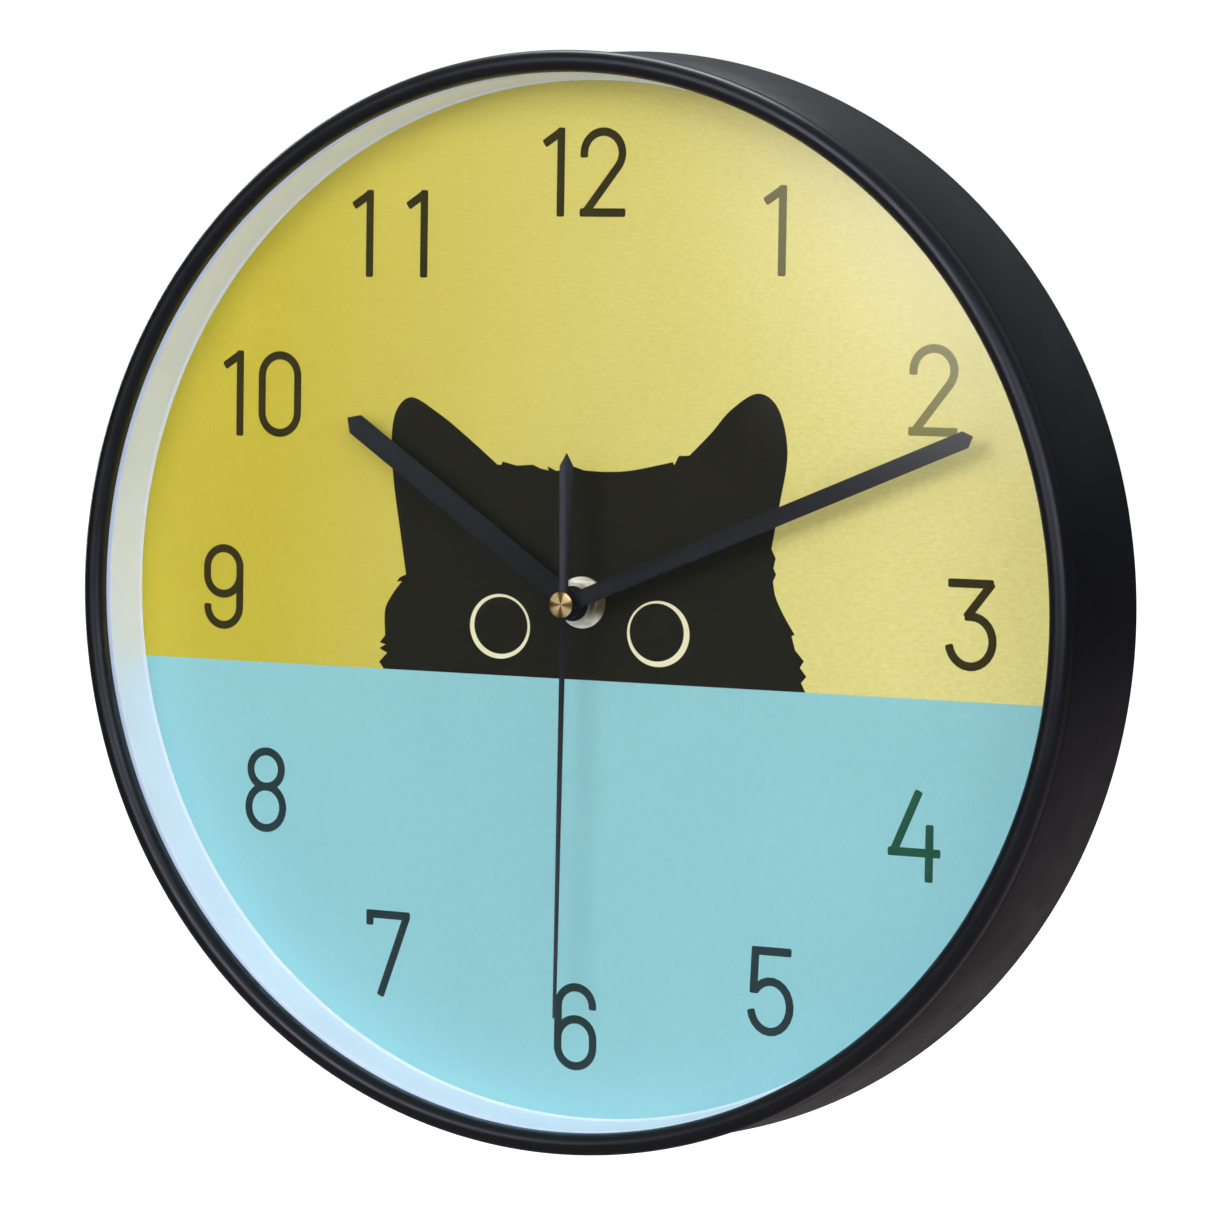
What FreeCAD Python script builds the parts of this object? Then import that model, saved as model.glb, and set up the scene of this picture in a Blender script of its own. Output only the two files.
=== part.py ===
# Round quartz wall clock, 300 mm across.
# Frame: the origin is on the axis of the hands at mid depth. +Z is up, the dial faces -Y, the wall is at +Y.
# Turned pieces are drawn as (radius, depth) on the XY plane and revolved about Y. Flat pieces are drawn as
# (across, up) on the XZ plane and padded towards the front, which is -Y.
import FreeCAD, Part
import math
import os
import Sketcher

Vector = FreeCAD.Vector
DEPTH_AXIS = Vector(0, 1, 0)

DIMENSIONS = {
    # case
    "wall_plane": 23.0,
    "front_plane": -23.0,
    "rear_radius": 149.95,
    "rim_chamfer": 0.8,
    "rear_wall": 2.35,
    "side_front_radius": 147.4,
    "side_front_plane": -15.0,
    "bead_outer_radius": 147.9,
    "bead_inner_radius": 142.1,
    "bead_back_plane": -17.3,
    "groove_radius": 146.9,
    "groove_plane": -16.1,
    "groove_width": 0.5,
    "seat_outer_radius": 144.8,
    "inner_wall_radius": 145.2,
    "dial_pocket_radius": 146.6,
    "post_ring_radius": 144.4,
    "post_radius": 1.8,
    "post_front_plane": -14.9,
    "post_count": 6,
    "screw_radius": 0.85,
    "screw_length": 8.0,
    "screw_clear_radius": 1.1,
    "screw_head_radius": 1.9,
    "screw_head_height": 1.2,
    "screw_recess_width": 0.5,
    "screw_recess_length": 2.2,
    "screw_recess_depth": 0.7,
    # glass and reflector ring
    "glass_radius": 144.5,
    "glass_thickness": 2.0,
    "glass_edge": 0.3,
    "ring_front_plane": -16.2,
    "ring_flange_radius": 144.6,
    "ring_flange_thickness": 1.0,
    "ring_outer_radius": 142.4,
    "ring_front_radius": 141.9,
    "ring_rear_radius": 141.45,
    "ring_foot_radius": 140.87,
    "ring_foot_height": 1.3,
    "ring_foot_lip": 0.4,
    # dial
    "dial_plane": -1.3,
    "paper_thickness": 0.3,
    "paper_radius": 142.4,
    "plate_thickness": 2.8,
    "plate_radius": 146.4,
    "centre_hole_radius": 4.1,
    # bush, washer and nut
    "bush_radius": 3.95,
    "bush_bore": 2.66,
    "bush_front_plane": -5.5,
    "thread_pitch": 0.75,
    "thread_depth": 0.3,
    "thread_crest": 0.08,
    "thread_turns": 7,
    "washer_radius": 7.05,
    "washer_thickness": 0.6,
    "nut_across_flats": 11.0,
    "nut_height": 2.6,
    "nut_chamfer_radius": 5.4,
    "nut_chamfer_slope": 0.5,
    # hanger bracket and gasket
    "bracket_thickness": 1.0,
    "bracket_half_width": 9.0,
    "bracket_bottom": -12.0,
    "bracket_bend": 30.0,
    "bracket_rise": 5.5,
    "bracket_slope_drop": 0.8,
    "bracket_back_plane": 20.5,
    "bracket_top": 47.0,
    "bracket_corner": 4.0,
    "hang_hole_height": 40.5,
    "hang_hole_radius": 2.75,
    "gasket_thickness": 0.8,
    "gasket_radius": 10.0,
    # movement case
    "case_half": 28.0,
    "case_front_plane": 3.6,
    "case_floor_plane": 5.1,
    "case_rear_plane": 16.2,
    "case_wall": 1.2,
    "case_corner": 2.5,
    "divider_top": -11.0,
    "divider_bottom": -12.0,
    "cover_thickness": 1.4,
    "cover_boss_front_plane": 14.9,
    "pivot_radius": 0.45,
    "pivot_hole_radius": 0.5,
    "pivot_boss_radius": 1.6,
    "post_pin_radius": 0.6,
    "middle_front_plane": 11.0,
    "middle_rear_plane": 12.0,
    "middle_left": -19.0,
    "middle_right": 10.4,
    "middle_bottom": -10.6,
    "middle_top": 14.2,
    "middle_post_radius": 1.4,
    "middle_post_inset": 1.9,
    "middle_right_shoulder": 5.5,
    "middle_left_shoulder": 8.0,
    "middle_notch_right": 2.6,
    "middle_notch_height": 10.6,
    "middle_ear_half_width": 3.0,
    "middle_spacer_left": -4.0,
    "middle_spacer_height": 12.4,
    "stator_post_radius": 1.2,
    "stator_post_left": -17.6,
    "stator_post_right": 14.2,
    "stator_post_top": 24.5,
    "stator_post_bottom": 12.8,
    "board_post_left": -23.8,
    "board_post_low": -7.5,
    "board_post_high": 16.0,
    "notch_half_width": 10.0,
    "notch_plane": 9.0,
    "guard_radius": 6.2,
    "guard_wall": 0.9,
    "guard_rear_plane": 19.0,
    "pivot_seat_plane": 4.3,
    # hands
    "minute_hand_angle": 67.5,
    "minute_hand_plane": -10.15,
    "minute_hand_length": 126.0,
    "minute_hand_width": 4.6,
    "minute_hub_radius": 4.1,
    "hour_hand_angle": 304.5,
    "hour_hand_plane": -7.15,
    "hour_hand_length": 85.6,
    "hour_hand_width": 6.1,
    "hour_hub_radius": 4.8,
    "hand_thickness": 0.4,
    "second_hand_angle": 180.5,
    "second_hand_plane": -12.35,
    "second_hand_length": 112.3,
    "second_root_width": 2.0,
    "second_end_width": 1.4,
    "second_tail_length": 40.7,
    "second_tail_shoulder": 37.2,
    "second_tail_width": 4.3,
    "second_neck_width": 2.5,
    "second_hub_radius": 3.1,
    "second_sleeve_radius": 1.3,
    "cap_radius": 3.55,
    "cap_front_plane": -14.4,
    "cap_rear_plane": -13.3,
    "cap_edge": 0.25,
    # tubes and arbors
    "hour_tube_radius": 2.6,
    "hour_tube_bore": 1.83,
    "hour_tube_front_plane": -8.0,
    "hour_collar_radius": 3.3,
    "hour_collar_length": 1.2,
    "minute_tube_radius": 1.775,
    "minute_tube_bore": 0.56,
    "minute_tube_front_plane": -11.2,
    "minute_collar_radius": 2.5,
    "minute_collar_length": 1.2,
    "arbor_radius": 0.5,
    "arbor_hole_radius": 0.55,
    "arbor_front_plane": -12.95,
    "arbor_rear_plane": 16.0,
    # gear train
    "backlash": 0.04,
    "wheel_addendum": 0.7,
    "pinion_addendum": 1.0,
    "tip_clearance": 0.25,
    "fast_module": 0.3,
    "seconds_module": 0.36,
    "third_module": 21.76 / 72,
    "centre_module": 0.32,
    "cannon_module": 0.46875,
    "hour_module": 0.45,
    "third_angle": 170.0,
    "minute_work_angle": 20.0,
    "intermediate_angle": 90.0,
    "rotor_angle": 45.0,
    "setting_angle": 40.0,
    "hour_wheel_plane": 5.3,
    "hour_wheel_thickness": 1.0,
    "work_pinion_plane": 5.25,
    "work_wheel_plane": 6.6,
    "work_wheel_thickness": 0.8,
    "work_hub_rear_plane": 10.8,
    "work_hub_radius": 1.0,
    "cannon_plane": 6.5,
    "cannon_length": 1.1,
    "clutch_plane": 7.6,
    "clutch_height": 0.38,
    "centre_wheel_plane": 8.0,
    "centre_wheel_thickness": 0.9,
    "third_pinion_plane": 7.8,
    "third_wheel_plane": 9.6,
    "third_wheel_thickness": 0.8,
    "seconds_pinion_plane": 9.45,
    "seconds_pinion_rear_plane": 10.7,
    "seconds_wheel_plane": 12.5,
    "seconds_wheel_thickness": 0.8,
    "intermediate_pinion_plane": 12.3,
    "intermediate_wheel_plane": 13.8,
    "intermediate_wheel_thickness": 0.7,
    "rotor_pinion_plane": 13.6,
    "rotor_pinion_rear_plane": 14.7,
    "magnet_radius": 2.9,
    "magnet_plane": 7.6,
    "magnet_rear_plane": 9.9,
    "setting_gear_plane": 6.5,
    "setting_gear_thickness": 1.0,
    "setting_arbor_radius": 1.5,
    "setting_hole_radius": 1.56,
    "setting_socket_depth": 1.2,
    "knob_radius": 4.4,
    "knob_front_plane": 17.9,
    "knob_rear_plane": 20.6,
    "knob_flutes": 18,
    "knob_flute_radius": 0.45,
    # motor
    "stator_plane": 8.0,
    "stator_thickness": 1.2,
    "stator_left": -20.0,
    "stator_right": 16.6,
    "stator_bottom": 10.5,
    "stator_web_top": 18.8,
    "stator_top": 26.2,
    "stator_leg": 4.8,
    "stator_hole_radius": 3.3,
    "core_bottom": 21.2,
    "core_top": 24.8,
    "core_thickness": 1.2,
    "bobbin_left": -14.4,
    "bobbin_right": 11.0,
    "bobbin_flange": 0.9,
    "bobbin_half_size": 3.6,
    "bobbin_sleeve": 0.5,
    "winding_radius": 3.3,
    # electronics
    "board_left": -26.5,
    "board_right": -21.2,
    "board_bottom": -9.4,
    "board_top": 18.0,
    "board_plane": 12.0,
    "board_thickness": 0.8,
    "crystal_radius": 1.0,
    "crystal_length": 6.0,
    "chip_radius": 2.1,
    "chip_height": 0.9,
    # battery bay
    "battery_radius": 7.1,
    "battery_length": 49.3,
    "battery_left": -24.2,
    "battery_nub_radius": 2.7,
    "battery_nub_length": 1.2,
    "battery_plane": 12.5,
    "battery_height": -19.5,
    "battery_rim": 0.5,
    "contact_thickness": 0.3,
    "contact_plane": 6.0,
    "contact_rear_plane": 16.0,
    "contact_half_height": 5.0,
    "coil_spring_radius": 3.6,
    "coil_spring_wire": 0.3,
    "coil_spring_turns": 3,
    # details of turned and moulded pieces
    "groove_curve": 1.22,
    "shoulder_curve": 0.65,
    "seat_chamfer": 0.5,
    "bush_flange_plane": 4.3,
    "bush_flange_radius": 5.2,
    "cover_corner": 2.0,
    "pinion_pass_radius": 1.9,
    "work_pin_rear_plane": 9.5,
    "pivot_end_plane": 4.4,
    "pivot_end_gap": 0.15,
    "running_gap": 0.05,
    "winding_corner": 1.2,
    "crystal_bottom": 8.0,
    "chip_height_on_board": 2.5,
    "strip_top": -12.05,
    "strip_rear_plane": 7.5,
    "strip_tab_left": -22.4,
    "strip_tab_right": -21.4,
    "strip_tab_top": -9.8,
    "cannon_neck": 1.2,
    "clutch_radius": 4.2,
    "clutch_sheet": 0.15,
    "centre_bore": 1.85,
    "knob_edge": 0.4,
    "hand_root_gap": 0.6,
    "second_sleeve_length": 0.95,
}

document = FreeCAD.newDocument("wall_clock")
sheet = document.addObject("Spreadsheet::Sheet", "dimensions")


class Size:
    """A length that carries its value and the spreadsheet expression that it comes from."""

    def __init__(self, value, text):
        self.value = value
        self.text = text

    def joined(self, sign, other, value):
        return Size(value, f"({self.text} {sign} {as_size(other).text})")

    def __add__(self, other):
        return self.joined("+", other, self.value + as_size(other).value)

    def __sub__(self, other):
        return self.joined("-", other, self.value - as_size(other).value)

    def __mul__(self, other):
        return self.joined("*", other, self.value * as_size(other).value)

    def __truediv__(self, other):
        return self.joined("/", other, self.value / as_size(other).value)

    def __neg__(self):
        return Size(-self.value, f"(0 - {self.text})")


def as_size(number):
    return number if isinstance(number, Size) else Size(float(number), str(number))


class Sizes:
    """Every spreadsheet cell as an attribute that holds a Size."""


def fill_sheet():
    """Write the driving dimensions into the sheet, one row each, and give every cell its alias."""
    for row, (alias, value) in enumerate(DIMENSIONS.items(), 1):
        sheet.set(f"A{row}", alias)
        sheet.set(f"B{row}", str(value))
        sheet.setAlias(f"B{row}", alias)
    document.recompute()
    for alias in DIMENSIONS:
        setattr(Sizes, alias, Size(float(sheet.get(alias)), f"dimensions.{alias}"))


fill_sheet()
PIECES = []


# ---------------------------------------------------------------- sketches and features

def bind(target, path, length):
    target.setExpression(path, as_size(length).text)


def new_body(name):
    body = document.addObject("PartDesign::Body", name)
    body.Label = name
    PIECES.append(body)
    return body


def origin_feature(body, role):
    return next(feature for feature in body.Origin.OriginFeatures if feature.Role == role)


def new_sketch(body, plane, offset=None):
    """A sketch on one of the body's own origin planes, moved along that plane's normal by offset."""
    sketch = body.newObject("Sketcher::SketchObject", f"{body.Name}_sketch")
    sketch.AttachmentSupport = [(origin_feature(body, plane), "")]
    sketch.MapMode = "FlatFace"
    if offset is not None:
        bind(sketch, "AttachmentOffset.Base.z", offset)
    return sketch


def front_sketch(body, depth):
    """A sketch seen from the front, at the given depth: across is +X and up is +Z."""
    return new_sketch(body, "XZ_Plane", -as_size(depth))


def fix_point(sketch, edge, point, across, up):
    """Pin one point of a sketch edge at (across, up) from the sketch's origin."""
    for kind, axis, length in (("DistanceX", -2, as_size(across)), ("DistanceY", -1, as_size(up))):
        if length.value == 0:
            sketch.addConstraint(Sketcher.Constraint("PointOnObject", edge, point, axis))
            continue
        index = sketch.addConstraint(Sketcher.Constraint(kind, -1, 1, edge, point, length.value))
        name = f"{kind}_{edge}_{point}"
        sketch.renameConstraint(index, name)
        bind(sketch, f"Constraints.{name}", length)


def fix_radius(sketch, edge, radius):
    index = sketch.addConstraint(Sketcher.Constraint("Radius", edge, radius.value))
    name = f"Radius_{edge}"
    sketch.renameConstraint(index, name)
    bind(sketch, f"Constraints.{name}", radius)


def arc_between(start, end, radius, turns_left):
    """The short arc from start to end; turns_left puts its centre on the left of the way there."""
    chord = end - start
    side = Vector(-chord.y, chord.x, 0).normalize()
    if not turns_left:
        side = -side
    centre = (start + end) * 0.5 + side * math.sqrt(max(radius ** 2 - chord.Length ** 2 / 4, 0))
    first, last = (start, end) if turns_left else (end, start)
    angles = [math.atan2(point.y - centre.y, point.x - centre.x) for point in (first, last)]
    return Part.ArcOfCircle(Part.Circle(centre, Vector(0, 0, 1), radius), *angles)


def draw_outline(sketch, corners):
    """Draw a closed outline. A corner is (across, up), or (across, up, radius) where an arc ends there:
    a positive radius turns left on the way to the corner and a negative one turns right."""
    corners = [tuple(as_size(length) for length in corner) for corner in corners]
    first_edge = sketch.GeometryCount
    ends = []
    for index, corner in enumerate(corners):
        before = corners[index - 1]
        start = Vector(before[0].value, before[1].value, 0)
        end = Vector(corner[0].value, corner[1].value, 0)
        if len(corner) == 2:
            sketch.addGeometry(Part.LineSegment(start, end), False)
            ends.append((1, 2))
            continue
        turns_left = corner[2].value > 0
        radius = corner[2] if turns_left else -corner[2]
        edge = sketch.addGeometry(arc_between(start, end, radius.value, turns_left), False)
        fix_radius(sketch, edge, radius)
        ends.append((1, 2) if turns_left else (2, 1))
    for index, corner in enumerate(corners):
        edge = first_edge + index
        after = (index + 1) % len(corners)
        joined = Sketcher.Constraint("Coincident", edge, ends[index][1], first_edge + after, ends[after][0])
        sketch.addConstraint(joined)
        fix_point(sketch, edge, ends[index][1], corner[0], corner[1])


def draw_circle(sketch, across, up, radius):
    centre = Vector(as_size(across).value, as_size(up).value, 0)
    edge = sketch.addGeometry(Part.Circle(centre, Vector(0, 0, 1), as_size(radius).value), False)
    fix_point(sketch, edge, 3, across, up)
    fix_radius(sketch, edge, as_size(radius))


def rectangle(left, bottom, right, top):
    return [(left, bottom), (right, bottom), (right, top), (left, top)]


def rounded_rectangle(left, bottom, right, top, radius):
    """Corners for draw_outline of a rectangle with four equal corner arcs."""
    left, bottom, right, top = (as_size(side) for side in (left, bottom, right, top))
    return [(left + radius, bottom, radius), (right - radius, bottom), (right, bottom + radius, radius),
            (right, top - radius), (right - radius, top, radius), (left + radius, top),
            (left, top - radius, radius), (left, bottom + radius)]


def add_feature(body, kind, sketch=None):
    feature = body.newObject(f"PartDesign::{kind}", f"{body.Name}_{kind}")
    if sketch is not None:
        feature.Profile = sketch
    return feature


def revolve(body, corners, kind="Revolution", axis="V_Axis"):
    """Turn an outline about one axis of its sketch, or cut it with kind="Groove"."""
    sketch = new_sketch(body, "XY_Plane")
    draw_outline(sketch, corners)
    turned = add_feature(body, kind, sketch)
    turned.ReferenceAxis = (sketch, [axis])
    turned.Angle = 360
    return turned


def pad(body, sketch, length):
    """Raise a sketch along its normal, which is towards the front for a front sketch."""
    raised = add_feature(body, "Pad", sketch)
    bind(raised, "Length", length)
    return raised


def pocket(body, sketch, depth):
    """Cut a sketch against its normal, which is towards the wall for a front sketch."""
    document.recompute()
    before = body.Shape.Volume
    cut = add_feature(body, "Pocket", sketch)
    bind(cut, "Length", depth)
    document.recompute()
    if body.Shape.Volume >= before:
        raise RuntimeError(f"{body.Label}: a pocket removed nothing")
    return cut


def pattern_about_depth(body, features, count):
    """Repeat features evenly round the Y axis."""
    pattern = add_feature(body, "PolarPattern")
    pattern.Originals = features
    pattern.Axis = (origin_feature(body, "Y_Axis"), [""])
    pattern.Angle = 360
    bind(pattern, "Occurrences", count)
    body.Tip = pattern
    return pattern


def place(body, across=0, up=0, depth=0, angle=0):
    """Move a body to (across, depth, up) and turn it about Y, clockwise as seen from the front."""
    body.Placement = FreeCAD.Placement(Vector(0, 0, 0), FreeCAD.Rotation(DEPTH_AXIS, 1))
    bind(body, "Placement.Rotation.Angle", angle)
    bind(body, "Placement.Base.x", across)
    bind(body, "Placement.Base.y", depth)
    bind(body, "Placement.Base.z", up)


def turned_piece(name, corners):
    """A whole piece that is one outline of (radius, depth) corners turned about the axis of the hands."""
    body = new_body(name)
    revolve(body, corners)
    place(body)
    return body


def tube(inner, outer, front, rear):
    return [(inner, front), (outer, front), (outer, rear), (inner, rear)]


def flat_piece(name, rear, thickness, outline=None, circles=()):
    """A flat piece with its rear face at depth rear, from an outline and circles of (across, up, radius)."""
    body = new_body(name)
    sketch = front_sketch(body, rear)
    if outline is not None:
        draw_outline(sketch, outline)
    for circle in circles:
        draw_circle(sketch, *circle)
    pad(body, sketch, thickness)
    place(body)
    return body


def add_posts(body, spots, radius, base, top):
    """Round posts that stand on depth base and end at depth top, further to the rear."""
    sketch = front_sketch(body, top)
    for across, up in spots:
        draw_circle(sketch, across, up, radius)
    return pad(body, sketch, as_size(top) - base)


def cut_holes(body, spots, radius, front, rear):
    sketch = front_sketch(body, front)
    for across, up in spots:
        draw_circle(sketch, across, up, radius)
    return pocket(body, sketch, as_size(rear) - front)


# ---------------------------------------------------------------- case, glass and dial

S = Sizes
PAPER_REAR = S.dial_plane + S.paper_thickness
PLATE_REAR = PAPER_REAR + S.plate_thickness
GLASS_FRONT = S.ring_front_plane - S.glass_thickness


def make_case_frame():
    """The black moulded rim: a round bead at the front, a shallow groove and a side wall that flares back."""
    body = new_body("case_frame")
    bead = (S.bead_outer_radius - S.bead_inner_radius) / 2
    bead_plane = S.front_plane + bead
    revolve(body, [
        (S.bead_outer_radius, bead_plane, bead),
        (S.bead_outer_radius, S.bead_back_plane),
        (S.groove_radius, S.groove_plane, S.groove_curve),
        (S.groove_radius, S.groove_plane + S.groove_width),
        (S.side_front_radius, S.side_front_plane, S.shoulder_curve),
        (S.rear_radius, S.wall_plane - S.rim_chamfer),
        (S.rear_radius - S.rim_chamfer, S.wall_plane),
        (S.rear_radius - S.rear_wall, S.wall_plane),
        (S.dial_pocket_radius, PLATE_REAR),
        (S.dial_pocket_radius, PAPER_REAR),
        (S.inner_wall_radius, PAPER_REAR),
        (S.inner_wall_radius, S.post_front_plane),
        (S.seat_outer_radius, S.post_front_plane),
        (S.seat_outer_radius, GLASS_FRONT),
        (S.bead_inner_radius + S.seat_chamfer, GLASS_FRONT),
        (S.bead_inner_radius, GLASS_FRONT - S.seat_chamfer),
        (S.bead_inner_radius, bead_plane),
        (S.bead_outer_radius - bead, S.front_plane, bead),
    ])
    posts = add_posts(body, [(0, S.post_ring_radius)], S.post_radius, S.post_front_plane, PAPER_REAR)
    pilots = cut_holes(body, [(0, S.post_ring_radius)], S.screw_radius,
                       PLATE_REAR - S.screw_length, PAPER_REAR)
    pattern_about_depth(body, [posts, pilots], S.post_count)
    place(body)


def make_glass():
    edge = S.glass_edge
    turned_piece("glass_lens", [
        (0, GLASS_FRONT),
        (S.glass_radius - edge, GLASS_FRONT),
        (S.glass_radius, GLASS_FRONT + edge),
        (S.glass_radius, S.ring_front_plane - edge),
        (S.glass_radius - edge, S.ring_front_plane),
        (0, S.ring_front_plane),
    ])


def make_reflector_ring():
    """The white inner ring that holds the glass forward and the dial back, with a thin foot on the dial."""
    flange_rear = S.ring_front_plane + S.ring_flange_thickness
    foot_top = S.dial_plane - S.ring_foot_height
    turned_piece("reflector_ring", [
        (S.ring_front_radius, S.ring_front_plane),
        (S.ring_flange_radius, S.ring_front_plane),
        (S.ring_flange_radius, flange_rear),
        (S.ring_outer_radius, flange_rear),
        (S.ring_outer_radius, S.dial_plane),
        (S.ring_foot_radius, S.dial_plane),
        (S.ring_foot_radius, S.dial_plane - S.ring_foot_lip),
        (S.ring_rear_radius, foot_top),
    ])


def make_dial():
    flat_piece("dial_paper", PAPER_REAR, S.paper_thickness,
               circles=[(0, 0, S.paper_radius), (0, 0, S.centre_hole_radius)])
    plate = flat_piece("dial_plate", PLATE_REAR, S.plate_thickness,
                       circles=[(0, 0, S.plate_radius), (0, 0, S.centre_hole_radius)])
    hole = cut_holes(plate, [(0, S.post_ring_radius)], S.screw_clear_radius, PAPER_REAR, PLATE_REAR)
    pattern_about_depth(plate, [hole], S.post_count)


def make_dial_plate_screws():
    """One pan-head screw with a cross recess, and its copies round the dial plate."""
    head_rear = PLATE_REAR + S.screw_head_height
    screw = document.addObject("PartDesign::Body", "dial_plate_screw")
    revolve(screw, [
        (0, PLATE_REAR - S.screw_length + S.screw_radius),
        (S.screw_radius / 2, PLATE_REAR - S.screw_length + S.screw_radius),
        (S.screw_radius, PLATE_REAR - S.screw_length + S.screw_radius * 2),
        (S.screw_radius, PLATE_REAR),
        (S.screw_head_radius, PLATE_REAR),
        (S.screw_head_radius, head_rear - S.screw_head_height / 2),
        (S.screw_head_radius - S.screw_head_height / 2, head_rear, S.screw_head_height / 2),
        (0, head_rear),
    ])
    for half_across, half_up in ((S.screw_recess_length / 2, S.screw_recess_width / 2),
                                 (S.screw_recess_width / 2, S.screw_recess_length / 2)):
        sketch = front_sketch(screw, head_rear - S.screw_recess_depth)
        draw_outline(sketch, rectangle(-half_across, -half_up, half_across, half_up))
        pocket(screw, sketch, S.screw_recess_depth)
    place(screw, up=S.post_ring_radius)
    document.recompute()
    copies = []
    for index in range(round(S.post_count.value)):
        copy = screw.Shape.copy()
        copy.rotate(Vector(0, 0, 0), DEPTH_AXIS, 360 * index / S.post_count.value)
        copies.append(copy)
    add_shape("dial_plate_screws", Part.makeCompound(copies))


def add_shape(name, shape, across=0.0, up=0.0):
    """A piece whose shape is made with Part's own functions from the sheet's values."""
    piece = document.addObject("Part::Feature", name)
    piece.Label = name
    piece.Shape = shape
    piece.Placement = FreeCAD.Placement(Vector(across, 0, up), FreeCAD.Rotation())
    PIECES.append(piece)
    return piece


# ---------------------------------------------------------------- what clamps the movement to the dial

def make_threaded_bush():
    """A brass bush: a flange set into the movement's front wall, then a thread as rings one pitch apart."""
    corners = [(S.bush_bore, S.bush_front_plane)]
    for turn in range(round(S.thread_turns.value)):
        start = S.bush_front_plane + S.thread_pitch * turn
        corners.append((S.bush_radius - S.thread_depth, start))
        corners.append((S.bush_radius, start + S.thread_pitch / 2 - S.thread_crest))
        corners.append((S.bush_radius, start + S.thread_pitch / 2 + S.thread_crest))
    corners.append((S.bush_radius - S.thread_depth, start + S.thread_pitch))
    corners.append((S.bush_radius, start + S.thread_pitch + S.thread_depth))
    corners.append((S.bush_radius, S.bush_flange_plane))
    corners.append((S.bush_flange_radius, S.bush_flange_plane))
    corners.append((S.bush_flange_radius, S.case_floor_plane))
    corners.append((S.bush_bore, S.case_floor_plane))
    turned_piece("threaded_bush", corners)


def make_washer_and_nut():
    washer_front = S.dial_plane - S.washer_thickness
    turned_piece("bush_washer", tube(S.centre_hole_radius, S.washer_radius, washer_front, S.dial_plane))
    nut = new_body("bush_nut")
    sketch = front_sketch(nut, washer_front)
    corner_radius = S.nut_across_flats / math.sqrt(3)
    corners = []
    for index in range(6):
        angle = math.radians(60 * index)
        across = round(math.cos(angle), 9)
        up = round(math.sin(angle), 9)
        corners.append((corner_radius * across, corner_radius * up))
    draw_outline(sketch, corners)
    draw_circle(sketch, 0, 0, S.bush_radius)
    pad(nut, sketch, S.nut_height)
    nut_front = washer_front - S.nut_height
    outside = S.nut_across_flats
    revolve(nut, [
        (S.nut_chamfer_radius, nut_front),
        (S.nut_chamfer_radius, nut_front - S.nut_height),
        (outside, nut_front - S.nut_height),
        (outside, nut_front + (outside - S.nut_chamfer_radius) * S.nut_chamfer_slope),
    ], kind="Groove")
    place(nut)


def make_hanger_bracket():
    """Bent sheet steel: clamped by the bush ahead of the movement, and stepped back above it to the hook."""
    body = new_body("hanger_bracket")
    front = PLATE_REAR
    rear = front + S.bracket_thickness
    hook_front = S.bracket_back_plane - S.bracket_thickness
    slope_drop = S.bracket_slope_drop
    sketch = new_sketch(body, "YZ_Plane", -S.bracket_half_width)
    draw_outline(sketch, [
        (front, S.bracket_bottom),
        (rear, S.bracket_bottom),
        (rear, S.bracket_bend - slope_drop),
        (S.bracket_back_plane, S.bracket_bend + S.bracket_rise - slope_drop),
        (S.bracket_back_plane, S.bracket_top),
        (hook_front, S.bracket_top),
        (hook_front, S.bracket_bend + S.bracket_rise),
        (front, S.bracket_bend),
    ])
    pad(body, sketch, S.bracket_half_width * 2)
    cut_holes(body, [(0, 0)], S.centre_hole_radius, front, rear)
    cut_holes(body, [(0, S.hang_hole_height)], S.hang_hole_radius, hook_front, S.bracket_back_plane)
    document.recompute()
    base = body.Tip
    top_corners = []
    for index, edge in enumerate(base.Shape.Edges, 1):
        spans_sheet = len(edge.Vertexes) == 2 and abs(edge.Length - S.bracket_thickness.value) < 1e-6
        at_top = abs(edge.CenterOfMass.z - S.bracket_top.value) < 1e-6
        if spans_sheet and at_top:
            top_corners.append(f"Edge{index}")
    rounded = add_feature(body, "Fillet")
    rounded.Base = (base, top_corners)
    bind(rounded, "Radius", S.bracket_corner)
    place(body)


def make_gasket():
    turned_piece("rubber_gasket", tube(S.centre_hole_radius, S.gasket_radius,
                                       S.case_front_plane - S.gasket_thickness, S.case_front_plane))


# ---------------------------------------------------------------- where the arbors stand

def polar(distance, angle, start=(0.0, 0.0)):
    """The point (across, up) at a distance and an angle, counted anticlockwise from +X, from start."""
    turn = math.radians(angle)
    return (start[0] + distance * math.cos(turn), start[1] + distance * math.sin(turn))


def gear_distance(module, teeth, other_teeth):
    return module.value * (teeth + other_teeth) / 2


PRESSURE_ANGLE = 25
ROTOR_TEETH = 8
INTERMEDIATE_TEETH = 48
INTERMEDIATE_PINION_TEETH = 8
SECONDS_TEETH = 40
SECONDS_PINION_TEETH = 8
THIRD_TEETH = 64
THIRD_PINION_TEETH = 8
CENTRE_TEETH = 60
CANNON_TEETH = 12
WORK_TEETH = 36
WORK_PINION_TEETH = 10
HOUR_TEETH = 40
SETTING_TEETH = 16

CENTRE = (0.0, 0.0)
THIRD = polar(gear_distance(S.centre_module, THIRD_PINION_TEETH, CENTRE_TEETH), S.third_angle.value)
WORK = polar(gear_distance(S.hour_module, WORK_PINION_TEETH, HOUR_TEETH), S.minute_work_angle.value)
INTERMEDIATE = polar(gear_distance(S.seconds_module, INTERMEDIATE_PINION_TEETH, SECONDS_TEETH),
                     S.intermediate_angle.value)
ROTOR = polar(gear_distance(S.fast_module, ROTOR_TEETH, INTERMEDIATE_TEETH), S.rotor_angle.value,
              INTERMEDIATE)
SETTING = polar(gear_distance(S.cannon_module, SETTING_TEETH, WORK_TEETH), S.setting_angle.value, WORK)


# ---------------------------------------------------------------- movement case and plates

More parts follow.
